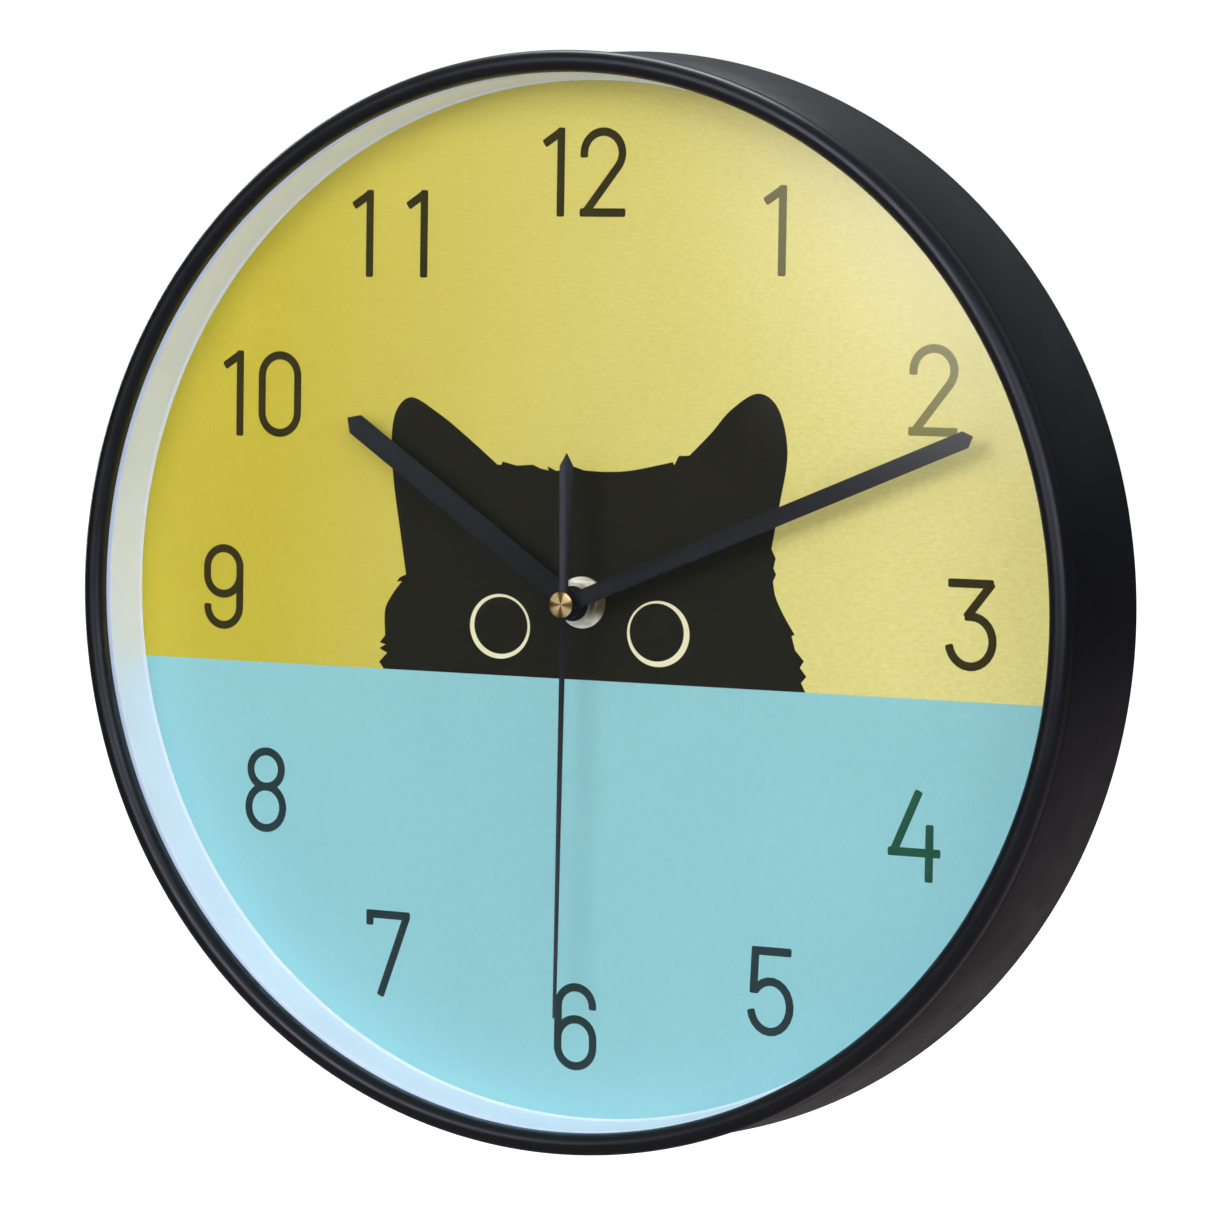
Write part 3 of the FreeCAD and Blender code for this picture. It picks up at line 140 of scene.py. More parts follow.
def smooth_through(points, steps=6):
    """A smooth line through the given points (a Catmull-Rom curve)."""
    ends = [points[0]] + list(points) + [points[-1]]
    line = []
    for before, here, there, after in zip(ends, ends[1:], ends[2:], ends[3:]):
        for step in range(steps):
            t = step / steps
            line.append(tuple(
                0.5 * (2 * b + (c - a) * t + (2 * a - 5 * b + 4 * c - d) * t ** 2
                       + (3 * b - a - 3 * c + d) * t ** 3)
                for a, b, c, d in zip(before, here, there, after)))
    return line + [tuple(points[-1])]


def stroke(path, width=STROKE):
    """The polygons of a pen line along a path: a quad for each step, and a rounded square end at each end."""
    points = [Vector(p) for p in path]
    directions = [(b - a).normalized() for a, b in zip(points, points[1:])]
    points[0] = points[0] + directions[0] * END_ROUND
    points[-1] = points[-1] - directions[-1] * END_ROUND
    sides = []
    for index, point in enumerate(points):
        into = directions[max(index - 1, 0)]
        out = directions[min(index, len(directions) - 1)]
        along = (into + out).normalized()
        sides.append(Vector((-along.y, along.x)) * (width / 2))
    polygons = []
    for a, b, side_a, side_b in zip(points, points[1:], sides, sides[1:]):
        polygons.append([a - side_a, b - side_b, b + side_b, a + side_a])
    for point, side, along in ((points[0], sides[0], -directions[0]), (points[-1], sides[-1], directions[-1])):
        inner = side * (1 - 2 * END_ROUND / width)
        rounded = [point + side]
        for turn in (30, 60, 90):
            reach = math.radians(turn)
            rounded.append(point + inner + (side - inner) * math.cos(reach) + along * END_ROUND * math.sin(reach))
        mirrored = [p - side * (2 * (p - point).dot(side) / side.length_squared) for p in reversed(rounded)]
        polygons.append(rounded + mirrored)
    return polygons


def area_of(polygons, holes=()):
    """Corners and faces of the flat area that overlapping polygons cover together, less the holes."""
    points = []
    loops = []
    for polygon in list(polygons) + list(holes):
        polygon = [Vector(p) for p in polygon]
        turns = sum(a.x * b.y - b.x * a.y for a, b in zip(polygon, polygon[1:] + polygon[:1]))
        if turns < 0:
            polygon.reverse()
        loops.append(list(range(len(points), len(points) + len(polygon))))
        points.extend(polygon)
    corners, _, faces, _, _, sources = delaunay_2d_cdt(points, [], loops, 1, 1e-5)
    kept = []
    for face, source in zip(faces, sources):
        if source and max(source) < len(polygons):
            kept.append(face)
    return corners, kept


# ---------------------------------------------------------------- mesh building

def flat_bmesh(mesh, corners, faces, front, rear, edge=0):
    """Adds a flat slab between two depths, with its front edges rounded over if edge is given."""
    verts = [mesh.verts.new((p.x, front, p.y)) for p in corners]
    made = [mesh.faces.new([verts[i] for i in face]) for face in faces]
    loose = [v for v in verts if not v.link_faces]
    bmesh.ops.delete(mesh, geom=loose, context="VERTS")
    flat = list({e for f in made for e in f.edges})
    made_verts = list({v for f in made for v in f.verts})
    dissolved = bmesh.ops.dissolve_limit(mesh, angle_limit=0.001, verts=made_verts, edges=flat)
    made = list({f for f in dissolved["region"]})
    outline = [e for f in made for e in f.edges if e.is_boundary]
    grown = bmesh.ops.extrude_face_region(mesh, geom=made, use_keep_orig=True)["geom"]
    for item in grown:
        if isinstance(item, bmesh.types.BMVert):
            item.co.y = rear
    if edge:
        bmesh.ops.bevel(mesh, geom=list(set(outline)), offset=edge, segments=2, profile=0.5,
                        affect="EDGES", clamp_overlap=True)


def turned_bmesh(mesh, outline, around, matrix=Matrix.Identity(4)):
    """Adds a closed outline of (radius, depth) corners turned about the Y axis."""
    rings = []
    for radius, depth in outline:
        if radius < 1e-6:
            rings.append([mesh.verts.new(matrix @ Vector((0, depth, 0)))])
            continue
        ring = []
        for step in range(around):
            angle = TURN * step / around
            place = Vector((radius * math.sin(angle), depth, radius * math.cos(angle)))
            ring.append(mesh.verts.new(matrix @ place))
        rings.append(ring)
    for ring, following in zip(rings, rings[1:] + rings[:1]):
        for step in range(around):
            after = (step + 1) % around
            if len(ring) == 1 and len(following) == 1:
                break
            if len(ring) == 1:
                mesh.faces.new((ring[0], following[step], following[after]))
            elif len(following) == 1:
                mesh.faces.new((ring[step], following[0], ring[after]))
            else:
                mesh.faces.new((ring[step], following[step], following[after], ring[after]))


def make_object(name, build, material, slot, body="case", replaces=(), sharp=SHARP):
    """A piece from a function that fills a bmesh in millimetres."""
    mesh = bmesh.new()
    build(mesh)
    bmesh.ops.recalc_face_normals(mesh, faces=mesh.faces)
    bmesh.ops.scale(mesh, vec=(MM, MM, MM), verts=mesh.verts)
    data = bpy.data.meshes.new(name)
    mesh.to_mesh(data)
    mesh.free()
    data.shade_smooth()
    data.set_sharp_from_angle(angle=sharp)
    data.materials.append(material)
    piece = bpy.data.objects.new(name, data)
    bpy.context.scene.collection.objects.link(piece)
    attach(piece, body)
    if replaces:
        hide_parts(*replaces)
    return piece


def turned_piece(name, outline, material, slot, around=AROUND, **where):
    return make_object(name, lambda mesh: turned_bmesh(mesh, outline, around), material, slot, **where)


def printed_piece(name, area, layer, material):
    """A flat area of ink on the dial, layer steps in front of the paper."""
    front = DIAL_PLANE - layer * INK
    return make_object(name, lambda mesh: flat_bmesh(mesh, *area, front, DIAL_PLANE), material, "dial_print",
                       sharp=FLAT_SHARP)


# ---------------------------------------------------------------- materials

WAVE_RATE = 20               # how far Blender's wave texture turns per metre, in radians, at a scale of 1
THREAD = 0.00055             # metres between the threads that show through the print
# the pale yellow of the painted sheen on the right of the dial
PAINTED_SHEEN_YELLOW = srgb(246, 237, 166)


class Finish:
    """A procedural material: one Principled shader, with texture added in layers."""

    def __init__(self, name, colour, roughness, **uniform):
        self.material = bpy.data.materials.new(name)
        self.material.use_nodes = True
        self.tree = self.material.node_tree
        self.tree.nodes.clear()
        self.output = self.tree.nodes.new("ShaderNodeOutputMaterial")
        self.shader = self.tree.nodes.new("ShaderNodeBsdfPrincipled")
        self.tree.links.new(self.shader.outputs["BSDF"], self.output.inputs["Surface"])
        self.colour = colour
        self.shader.inputs["Base Color"].default_value = colour
        self.shader.inputs["Roughness"].default_value = roughness
        for socket, value in uniform.items():
            self.shader.inputs[socket.replace("_", " ")].default_value = value
        self.where = self.tree.nodes.new("ShaderNodeTexCoord").outputs["Object"]
        self.normal = None

    def node(self, kind, **inputs):
        """A new node, with each named input linked to a socket or set to a value."""
        made = self.tree.nodes.new(kind)
        for socket, value in inputs.items():
            target = made.inputs[socket.replace("_", " ")]
            if isinstance(value, bpy.types.NodeSocket):
                self.tree.links.new(value, target)
            else:
                target.default_value = value
        return made

    def noise(self, size, detail=3.0, stretch=(1, 1, 1)):
        """Noise whose blots are about size metres across, drawn out along an axis by stretch."""
        mapping = self.node("ShaderNodeMapping", Vector=self.where, Scale=[1 / s for s in stretch])
        made = self.node("ShaderNodeTexNoise", Vector=mapping.outputs["Vector"], Scale=1 / size, Detail=detail)
        return made.outputs["Fac"]

    def waves(self, size, axis, bend=0.0, bend_size=0.001, rings=False):
        """Parallel ridges, or rings round an axis, size metres apart."""
        made = self.node("ShaderNodeTexWave", Vector=self.where, Scale=TURN / (WAVE_RATE * size),
                         Distortion=bend, Detail=2.0, Detail_Scale=size / bend_size)
        if rings:
            made.wave_type = "RINGS"
            made.rings_direction = axis
        else:
            made.bands_direction = axis
        return made.outputs["Fac"]

    def spread(self, value, low, high, start=0.3, end=0.7):
        """The value stretched from start..end to low..high."""
        made = self.node("ShaderNodeMapRange", Value=value)
        made.inputs["From Min"].default_value = start
        made.inputs["From Max"].default_value = end
        made.inputs["To Min"].default_value = low
        made.inputs["To Max"].default_value = high
        return made.outputs["Result"]

    def arithmetic(self, kind, first, second=None):
        """The texture value worked on by another value, which may be a socket or a number."""
        made = self.tree.nodes.new("ShaderNodeMath")
        made.operation = kind
        self.tree.links.new(first, made.inputs[0])
        if isinstance(second, bpy.types.NodeSocket):
            self.tree.links.new(second, made.inputs[1])
        elif second is not None:
            made.inputs[1].default_value = second
        return made.outputs["Value"]

    def weave(self):
        """Crossed threads of the printed sheet, a little wavy."""
        upright = self.waves(THREAD, "X", 3.0, 2 * THREAD)
        across = self.waves(THREAD, "Z", 3.0, 2 * THREAD)
        return self.arithmetic("MULTIPLY", upright, across)

    def wedges(self, count):
        """Soft wedges round the axis of the hands, high towards the right: painted highlight and shade for the
        radial reflections of a finely turned disc.
        """
        facing = self.node("ShaderNodeMapping", Vector=self.where, Rotation=(math.pi / 2, 0, 0))
        around = self.node("ShaderNodeTexGradient", Vector=facing.outputs["Vector"])
        around.gradient_type = "RADIAL"
        return self.arithmetic("COSINE", self.arithmetic("MULTIPLY", around.outputs["Fac"], count * TURN))

    def tint(self, value, other, amount=1.0, start=0.3, end=0.7):
        """Mixes the colour so far towards another one, where value is high."""
        mix = self.tree.nodes.new("ShaderNodeMix")
        mix.data_type = "RGBA"
        self.tree.links.new(self.spread(value, 0, amount, start, end), mix.inputs["Factor"])
        if isinstance(self.colour, bpy.types.NodeSocket):
            self.tree.links.new(self.colour, mix.inputs["A"])
        else:
            mix.inputs["A"].default_value = self.colour
        mix.inputs["B"].default_value = other
        self.colour = mix.outputs["Result"]
        self.tree.links.new(self.colour, self.shader.inputs["Base Color"])
        return self

    def gloss(self, value, low, high):
        """Roughness that varies from low to high."""
        self.tree.links.new(self.spread(value, low, high), self.shader.inputs["Roughness"])
        return self

    def bump(self, value, depth, strength=1.0):
        """Relief of the given depth in metres, on top of any relief so far."""
        made = self.node("ShaderNodeBump", Height=value, Strength=strength, Distance=depth)
        if self.normal is not None:
            self.tree.links.new(self.normal, made.inputs["Normal"])
        self.normal = made.outputs["Normal"]
        self.tree.links.new(self.normal, self.shader.inputs["Normal"])
        return self


def moulded_plastic(name, colour, shade, low, high, grain=0.00035, depth=0.000012, **uniform):
    """Moulded plastic: faint mottling, uneven gloss, a fine spark grain and slow waviness."""
    finish = Finish(name, colour, (low + high) / 2, **uniform)
    finish.tint(finish.noise(0.018), shade, 0.8)
    finish.gloss(finish.noise(0.009, 5), low, high)
    finish.bump(finish.noise(0.03, 1), 0.00002)
    return finish.bump(finish.noise(grain, 4), depth)


def brushed_metal(name, colour, shade, low, high, stretch=(1, 1, 1), grain=0.0003, depth=0.000006, **uniform):
    """Bare or plated metal: streaks along the rolling direction, patches of duller plating, fine scratches."""
    finish = Finish(name, colour, (low + high) / 2, Metallic=1.0, **uniform)
    finish.tint(finish.noise(0.006, 4), shade, 0.9)
    streaks = finish.noise(grain, 4, stretch)
    finish.gloss(streaks, low, high)
    return finish.bump(streaks, depth)


def turned_metal(name, colour, shade, dark, low, high, wedges, depth=0.000004, metallic=1.0):
    """Lathe-turned metal: tool marks, and painted wedges of highlight and shade round the axis of the hands."""
    finish = Finish(name, colour, (low + high) / 2, Metallic=metallic, Anisotropic=0.6)
    tangent = finish.tree.nodes.new("ShaderNodeTangent")
    tangent.direction_type = "RADIAL"
    tangent.axis = "Y"
    finish.tree.links.new(tangent.outputs["Tangent"], finish.shader.inputs["Tangent"])
    finish.tint(finish.noise(0.0012, 3), shade, 0.6)
    # painted highlight and shade: the colour runs to the dark one in wedges round the axis
    finish.tint(finish.wedges(wedges), dark, 0.95, -0.4, 0.9)
    marks = finish.waves(0.00022, "Y", 0.6, 0.0006, rings=True)
    finish.gloss(marks, low, high)
    return finish.bump(marks, depth)


def printed_paper(name, colour, shade, pale, painted_sheen_right=False):
    """Matt laminated print with the fine weave of the sheet showing through it.

    With painted_sheen_right the print fades softly to a pale yellow towards the right, a painted sheen for the
    glare on that side of the dial.
    """
    finish = Finish(name, colour, 0.6, Specular_IOR_Level=0.12)
    weave = finish.weave()
    threads = finish.noise(0.0007, 3, (1, 1, 3))
    slubs = finish.noise(0.0007, 3, (3, 1, 1))
    finish.tint(finish.noise(0.05, 2), shade, 0.35)
    if painted_sheen_right:
        # painted sheen: the print pales towards +X, standing in for glare on the right
        across_dial = finish.node("ShaderNodeSeparateXYZ", Vector=finish.where).outputs["X"]
        finish.tint(across_dial, PAINTED_SHEEN_YELLOW, 0.9, -0.10, 0.09)
    finish.tint(threads, pale, 0.2)
    finish.tint(slubs, shade, 0.25)
    finish.tint(weave, pale, 0.3, 0.2, 0.9)
    finish.gloss(threads, 0.56, 0.68)
    finish.bump(weave, 0.000008)
    return finish.bump(slubs, 0.000004)


def ink(name, colour, shade):
    """Printed ink: nearly even, slightly thinner in patches, over the weave of the sheet."""
    finish = Finish(name, colour, 0.6, Specular_IOR_Level=0.1)
    finish.tint(finish.noise(0.004, 4), shade, 0.35)
    finish.gloss(finish.noise(0.0009, 4), 0.52, 0.68)
    return finish.bump(finish.weave(), 0.000003)


def lacquered_hand(name, colour, shade):
    """Stamped sheet metal with a fine dark slate lacquer, painted lighter on the edges as a highlight along the
    bevels.
    """
    finish = Finish(name, colour, 0.4, Specular_IOR_Level=0.15)
    finish.tint(finish.noise(0.012, 3), shade, 0.6)
    # painted highlight: edges tinted lighter, for the bright line the bevels catch
    edges = finish.tree.nodes.new("ShaderNodeNewGeometry").outputs["Pointiness"]
    finish.tint(edges, srgb(92, 95, 108), 0.35, 0.52, 0.62)
    finish.gloss(finish.noise(0.0008, 4), 0.34, 0.46)
    return finish.bump(finish.noise(0.00025, 3), 0.000006)


def window_glass(name):
    """Clear float glass that lets light and shadow rays straight through to the dial."""
    finish = Finish(name, (1, 1, 1, 1), 0.0, Transmission_Weight=1.0, IOR=1.45)
    finish.bump(finish.noise(0.08, 1), 0.000004)
    clear = finish.tree.nodes.new("ShaderNodeBsdfTransparent")
    clear.inputs["Color"].default_value = (0.96, 0.975, 0.97, 1)
    mix = finish.tree.nodes.new("ShaderNodeMixShader")
    rays = finish.tree.nodes.new("ShaderNodeLightPath")
    finish.tree.links.new(rays.outputs["Is Shadow Ray"], mix.inputs["Fac"])
    finish.tree.links.new(finish.shader.outputs["BSDF"], mix.inputs[1])
    finish.tree.links.new(clear.outputs["BSDF"], mix.inputs[2])
    finish.tree.links.new(mix.outputs["Shader"], finish.output.inputs["Surface"])
    return finish


def copper_winding(name):
    """Enamelled copper wire wound side by side along the bobbin."""
    finish = Finish(name, srgb(176, 92, 48), 0.3, Metallic=0.9, Coat_Weight=0.6, Coat_Roughness=0.15)
    turns = finish.waves(0.00012, "X", 0.4, 0.002)
    finish.tint(turns, srgb(92, 38, 16), 0.8)
    finish.tint(finish.noise(0.0015), srgb(205, 128, 74), 0.5)
    return finish.bump(turns, 0.00004)


def circuit_laminate(name):
    """Green solder mask over faint copper tracks and the glass weave."""
    finish = Finish(name, srgb(24, 92, 52), 0.35, Coat_Weight=0.5, Coat_Roughness=0.2)
    tracks = finish.waves(0.0022, "Z", 5.0, 0.02)
    finish.tint(tracks, srgb(46, 128, 74), 0.8, 0.62, 0.7)
    finish.tint(finish.noise(0.0012), srgb(14, 66, 38), 0.5)
    return finish.bump(tracks, 0.00003)


def hardboard(name):
    """Black-faced fibre board: a dull coat over a felted, slightly flecked surface."""
    finish = Finish(name, srgb(62, 61, 62), 0.7, Specular_IOR_Level=0.4)
    finish.tint(finish.noise(0.0035, 6), srgb(84, 82, 81), 0.8)
    finish.tint(finish.noise(0.0006, 5, (6, 1, 1)), srgb(112, 108, 104), 0.5, 0.5, 0.8)
    finish.gloss(finish.noise(0.002, 5), 0.55, 0.8)
    return finish.bump(finish.noise(0.0007, 6), 0.00006)


def battery_sleeve(name, colour, shade):
    """Shrunk plastic sleeve with a soft metallic ink."""
    finish = Finish(name, colour, 0.3, Metallic=0.55, Coat_Weight=0.8, Coat_Roughness=0.08)
    finish.tint(finish.noise(0.004, 4, (4, 1, 1)), shade, 0.6)
    finish.gloss(finish.noise(0.002, 4), 0.24, 0.36)
    return finish.bump(finish.noise(0.006, 2), 0.00003)


def make_materials():
    """Every finish of the clock, by the name that the pieces use."""
    yellow = srgb(209, 192, 57)
    blue = srgb(151, 211, 218)
    return {key: finish.material for key, finish in {
        "rim": moulded_plastic("rim_black", srgb(20, 20, 25), srgb(16, 16, 20), 0.30, 0.40,
                               Specular_IOR_Level=0.44, Specular_Tint=(0.82, 0.88, 1, 1)),
        "glass": window_glass("front_glass"),
        # painted glow: the ring's emission brightens it to a bluish white, though the ring is no lamp
        "ring": moulded_plastic("ring_white", srgb(230, 238, 252), srgb(225, 233, 248), 0.28, 0.38,
                                0.0006, 0.000005, Coat_Weight=0.3, Coat_Roughness=0.15,
                                Emission_Color=(0.78, 0.83, 1, 1), Emission_Strength=0.15),
        "yellow": printed_paper("dial_yellow", yellow, srgb(197, 180, 47), srgb(231, 217, 112), painted_sheen_right=True),
        "blue": printed_paper("dial_blue", blue, srgb(136, 202, 210), srgb(184, 229, 234)),
        "cat": ink("ink_cat", srgb(30, 29, 21), srgb(36, 35, 26)),
        "eye": ink("ink_cream", srgb(250, 243, 205), srgb(238, 228, 180)),
        "olive": ink("ink_olive", srgb(52, 46, 16), srgb(62, 56, 20)),
        # painted reflection: the olive ink paled towards white for the numerals 1 and 2, where glare washes the
        # upper right
        "olive with painted reflection": ink("ink_olive_painted_reflection", srgb(98, 93, 32), srgb(110, 105, 42)),
        "olive with strong painted reflection": ink("ink_olive_strong_painted_reflection", srgb(126, 122, 58), srgb(138, 134, 70)),
        "slate": ink("ink_slate", srgb(38, 57, 60), srgb(44, 65, 68)),
        "green": ink("ink_green", srgb(33, 84, 64), srgb(44, 98, 76)),
        "board": hardboard("plate_black"),
        "hand": lacquered_hand("hand_slate", srgb(27, 28, 34), srgb(23, 24, 29)),
        # the third colour of the cap and of the bush is the painted shade of their wedges
        "cap": turned_metal("cap_brass", srgb(236, 212, 164), srgb(222, 192, 132), srgb(106, 76, 22),
                            0.22, 0.38, wedges=4, depth=0.00001),
        "bush": turned_metal("bush_brass", srgb(255, 252, 240), srgb(246, 240, 218), srgb(128, 114, 78),
                             0.3, 0.5, wedges=2, metallic=0.66),
        "screw": brushed_metal("screw_steel", srgb(196, 198, 200), srgb(150, 152, 156), 0.22, 0.42),
        "bracket": brushed_metal("bracket_zinc", srgb(214, 216, 218), srgb(180, 184, 190), 0.42, 0.6,
                                 (1, 1, 10), 0.0008, 0.00001),
        "gasket": moulded_plastic("gasket_rubber", srgb(30, 30, 30), srgb(40, 40, 40), 0.7, 0.85,
                                  0.0005, 0.00003),
        "movement": moulded_plastic("movement_black", srgb(40, 41, 44), srgb(32, 33, 35), 0.36, 0.52,
                                    0.0005, 0.00003),
        "gear": moulded_plastic("gear_white", srgb(236, 234, 226), srgb(222, 219, 208), 0.3, 0.42,
                                Subsurface_Weight=0.1),
        "motor": brushed_metal("motor_steel", srgb(168, 170, 174), srgb(120, 122, 128), 0.25, 0.45),
        "copper": copper_winding("coil_copper"),
        "laminate": circuit_laminate("board_green"),
        "nickel": brushed_metal("contact_nickel", srgb(214, 212, 206), srgb(176, 172, 164), 0.16, 0.34,
                                (1, 1, 8), 0.0005),
        "knob": moulded_plastic("knob_grey", srgb(150, 152, 154), srgb(136, 138, 141), 0.4, 0.52,
                                0.0004, 0.00002),
        "sleeve": battery_sleeve("battery_sleeve", srgb(62, 98, 118), srgb(50, 84, 104)),
        "band": battery_sleeve("battery_band", srgb(204, 206, 206), srgb(184, 187, 188)),
        "mark": moulded_plastic("mark_grey", srgb(112, 114, 118), srgb(98, 100, 104), 0.4, 0.5),
        "can": brushed_metal("battery_steel", srgb(214, 214, 212), srgb(186, 186, 184), 0.18, 0.34),
    }.items()}


# ---------------------------------------------------------------- rim, glass and ring

def rim_outline():
    """The rim's cut: a round bead in front, a shallow groove, and a side wall that flares to the back."""
    bead = (BEAD_OUTER - BEAD_INNER) / 2
    bead_plane = FRONT_PLANE + bead
    crown = BEAD_OUTER - bead
    outer = arc(crown, bead_plane, bead, bead, 0, -90, 14)
    inner = arc(crown, bead_plane, bead, bead, -90, -180, 14)
    outline = [
        (GROOVE_RADIUS, GROOVE_FRONT),
        (GROOVE_RADIUS + 0.35, GROOVE_FRONT - 0.75),
        (BEAD_OUTER - 0.2, BEAD_BACK_PLANE + 0.1),
        (BEAD_OUTER, BEAD_BACK_PLANE - 0.3),
    ]
    outline += outer + inner[1:]
    outline += [
        (BEAD_INNER, GLASS_FRONT - 0.5),
        (BEAD_INNER + 0.5, GLASS_FRONT),
        (SEAT_RADIUS, GLASS_FRONT),
        (SEAT_RADIUS, POST_FRONT_PLANE),
        (INNER_WALL_RADIUS, POST_FRONT_PLANE),
        (INNER_WALL_RADIUS, PAPER_REAR),
        (POCKET_RADIUS, PAPER_REAR),
        (POCKET_RADIUS, PLATE_REAR),
        (REAR_RADIUS - REAR_WALL, WALL_PLANE - 0.3),
        (REAR_RADIUS - REAR_WALL + 0.3, WALL_PLANE),
    ]
    outline += arc(REAR_RADIUS - RIM_CHAMFER, WALL_PLANE - RIM_CHAMFER, RIM_CHAMFER, RIM_CHAMFER, 90, 2, 6)
    outline += [
        (SIDE_FRONT_RADIUS + 0.05, SIDE_FRONT_PLANE + 0.35),
        (SIDE_FRONT_RADIUS - 0.15, SIDE_FRONT_PLANE - 0.15),
        (GROOVE_RADIUS, GROOVE_REAR),
    ]
    return outline


def build_posts(mesh):
    """The six screw posts behind the ring, each with its pilot hole."""
    for index in range(POST_COUNT):
        turn = Matrix.Rotation(TURN * index / POST_COUNT, 4, "Y")
        place = turn @ Matrix.Translation((0, 0, POST_RING_RADIUS))
        turned_bmesh(mesh, [
            (0, POST_FRONT_PLANE + 0.1),
            (POST_RADIUS, POST_FRONT_PLANE + 0.1),
            (POST_RADIUS, PAPER_REAR),
            (PILOT_RADIUS, PAPER_REAR),
            (PILOT_RADIUS, PLATE_REAR - 8),
            (0, PLATE_REAR - 8),
        ], 32, place)


def make_rim(finishes):
    turned_piece("rim", rim_outline(), finishes["rim"], "case_black", replaces=("case_frame",))
    make_object("rim_posts", build_posts, finishes["rim"], "case_black")


def make_glass(finishes):
    radius = GLASS_HIGH.x
    edge = 0.3
    turned_piece("glass_pane", [
        (0, GLASS_FRONT),
        (radius - edge, GLASS_FRONT),
        (radius, GLASS_FRONT + edge),
        (radius, GLASS_REAR - edge),
        (radius - edge, GLASS_REAR),
        (0, GLASS_REAR),
    ], finishes["glass"], "front_glass", replaces=("glass_lens",))


def make_ring(finishes):
    """The white ring between glass and dial, with its thin foot on the paper."""
    flange = RING_HIGH.x
    wall = PAPER_HIGH.x
    turned_piece("inner_ring", [
        (141.9, RING_LOW.y + 0.15),
        (142.05, RING_LOW.y),
        (flange, RING_LOW.y),
        (flange, RING_LOW.y + 1),
        (wall, RING_LOW.y + 1),
        (wall, DIAL_PLANE),
        (140.87, DIAL_PLANE),
        (140.87, DIAL_PLANE - 0.3),
        (140.97, DIAL_PLANE - 0.4),
        (141.3, DIAL_PLANE - 0.75),
        (141.42, DIAL_PLANE - 1.0),
        (141.45, DIAL_PLANE - 1.3),
    ], finishes["ring"], "ring_white", replaces=("reflector_ring",))


# ---------------------------------------------------------------- dial print

HOLE_RADIUS = 4.1
WASHER_RADIUS = WASHER_HIGH.x


def make_dial_face(finishes):
    radius = PAPER_HIGH.x
    turned_piece("dial_face", [
        (HOLE_RADIUS, DIAL_PLANE),
        (radius, DIAL_PLANE),
        (radius, PAPER_REAR),
        (HOLE_RADIUS, PAPER_REAR),
    ], finishes["yellow"], "dial_print", replaces=("dial_paper",))


def make_blue_half(finishes):
    """The blue lower part of the print, up to a level edge."""
    radius = PAPER_HIGH.x - 0.4
    end = math.degrees(math.asin(HORIZON / radius))
    bowl = arc(0, 0, radius, radius, -180 - end, end, AROUND)
    printed_piece("print_blue", area_of([bowl]), 1, finishes["blue"])


def cat_outline():
    """The head of a cat looking over the edge: fur is drawn with points, ears and cheeks with curves."""
    left_cheek_fur = [(-61.5, HORIZON), (-63.0, -19.2), (-60.5, -16.6), (-63.0, -15.4), (-61.0, -14.3),
                      (-62.9, -13.8)]
    left_cheek = smooth_through([(-61.2, -11.8), (-61.3, -4.7), (-59.0, -0.2), (-56.0, 3.5)])
    left_tuft = [(-57.7, 3.3), (-56.8, 4.5), (-54.8, 5.4)]
    left_ear = smooth_through([(-55.1, 7.1), (-56.7, 16.7), (-58.9, 29.9), (-59.9, 41.4), (-58.6, 50.4),
                               (-53.7, 54.4), (-45.7, 50.5), (-37.6, 45.0), (-26.6, 36.6)])
    brow_fur = [(-25.4, 36.6), (-25.1, 37.5), (-20.6, 36.5), (-15.7, 36.9), (-13.3, 35.9), (-10.8, 35.5),
                (-11.3, 36.6), (-8.4, 35.4), (-3.1, 36.7)]
    brow = smooth_through([(-0.1, 35.8), (6.6, 35.6), (14.3, 36.2), (24.8, 38.4)])
    right_tuft = [(26.5, 38.8), (27.0, 38.0), (28.3, 40.5)]
    right_ear = smooth_through([(31.4, 40.7), (37.9, 47.0), (43.4, 53.1), (51.2, 57.7), (57.3, 53.8),
                                (60.2, 42.1), (58.0, 27.7), (56.0, 16.6)])
    right_fur = [(57.3, 14.1), (56.7, 11.5), (57.5, 9.8), (56.6, 7.9)]
    right_cheek = smooth_through([(57.2, 4.6), (58.3, 2.0), (60.4, -1.7), (63.2, -5.9)])
    right_cheek_fur = [(62.3, -6.3), (63.4, -10.0), (66.0, -12.8), (64.9, -14.6), (66.8, -16.9),
                       (65.3, -18.6), (66.6, HORIZON)]
    return (left_cheek_fur + left_cheek + left_tuft + left_ear + brow_fur + brow + right_tuft
            + right_ear + right_fur + right_cheek + right_cheek_fur)


def make_cat(finishes):
    centre_hole = circle(0, 0, WASHER_RADIUS - 0.3)
    printed_piece("print_cat", area_of([cat_outline()], [centre_hole]), 1, finishes["cat"])
    eyes = {
        "print_eye_left": ((-25.2, -7.65, 9.3, 8.87), (-24.91, -7.39, 8.24, 7.83)),
        "print_eye_right": ((23.0, -7.55, 9.35, 8.93), (22.54, -7.17, 8.12, 7.85)),
    }
    for name, (outer, inner) in eyes.items():
        outer_edge = arc(*outer, 0, 360, AROUND_SMALL)[:-1]
        inner_edge = arc(*inner, 0, 360, AROUND_SMALL)[:-1]
        printed_piece(name, area_of([outer_edge], [inner_edge]), 2, finishes["eye"])


# each digit is a few pen lines, from a foot at height 0, with its left edge at 0

def digit_one():
    return [
        [(5.45, 0), (5.45, DIGIT_HEIGHT)],
        [(0.3, 19.55), (5.2, 22.75)],
    ]


def digit_two():
    return [
        [(1.15, 15.9)] + arc(6.9, 17.1, 5.75, 5.75, 180, -38) + [(1.75, 1.2)],
        [(0, 1.15), (13.8, 1.15)],
    ]


def digit_three():
    return [
        [(0.4, 22.85), (13.2, 22.85)],
        [(12.9, 23.2), (5.6, 13.9)],
        [(5.2, 14.25)] + arc(7.0, 7.7, 6.15, 6.55, 90, -172),
    ]


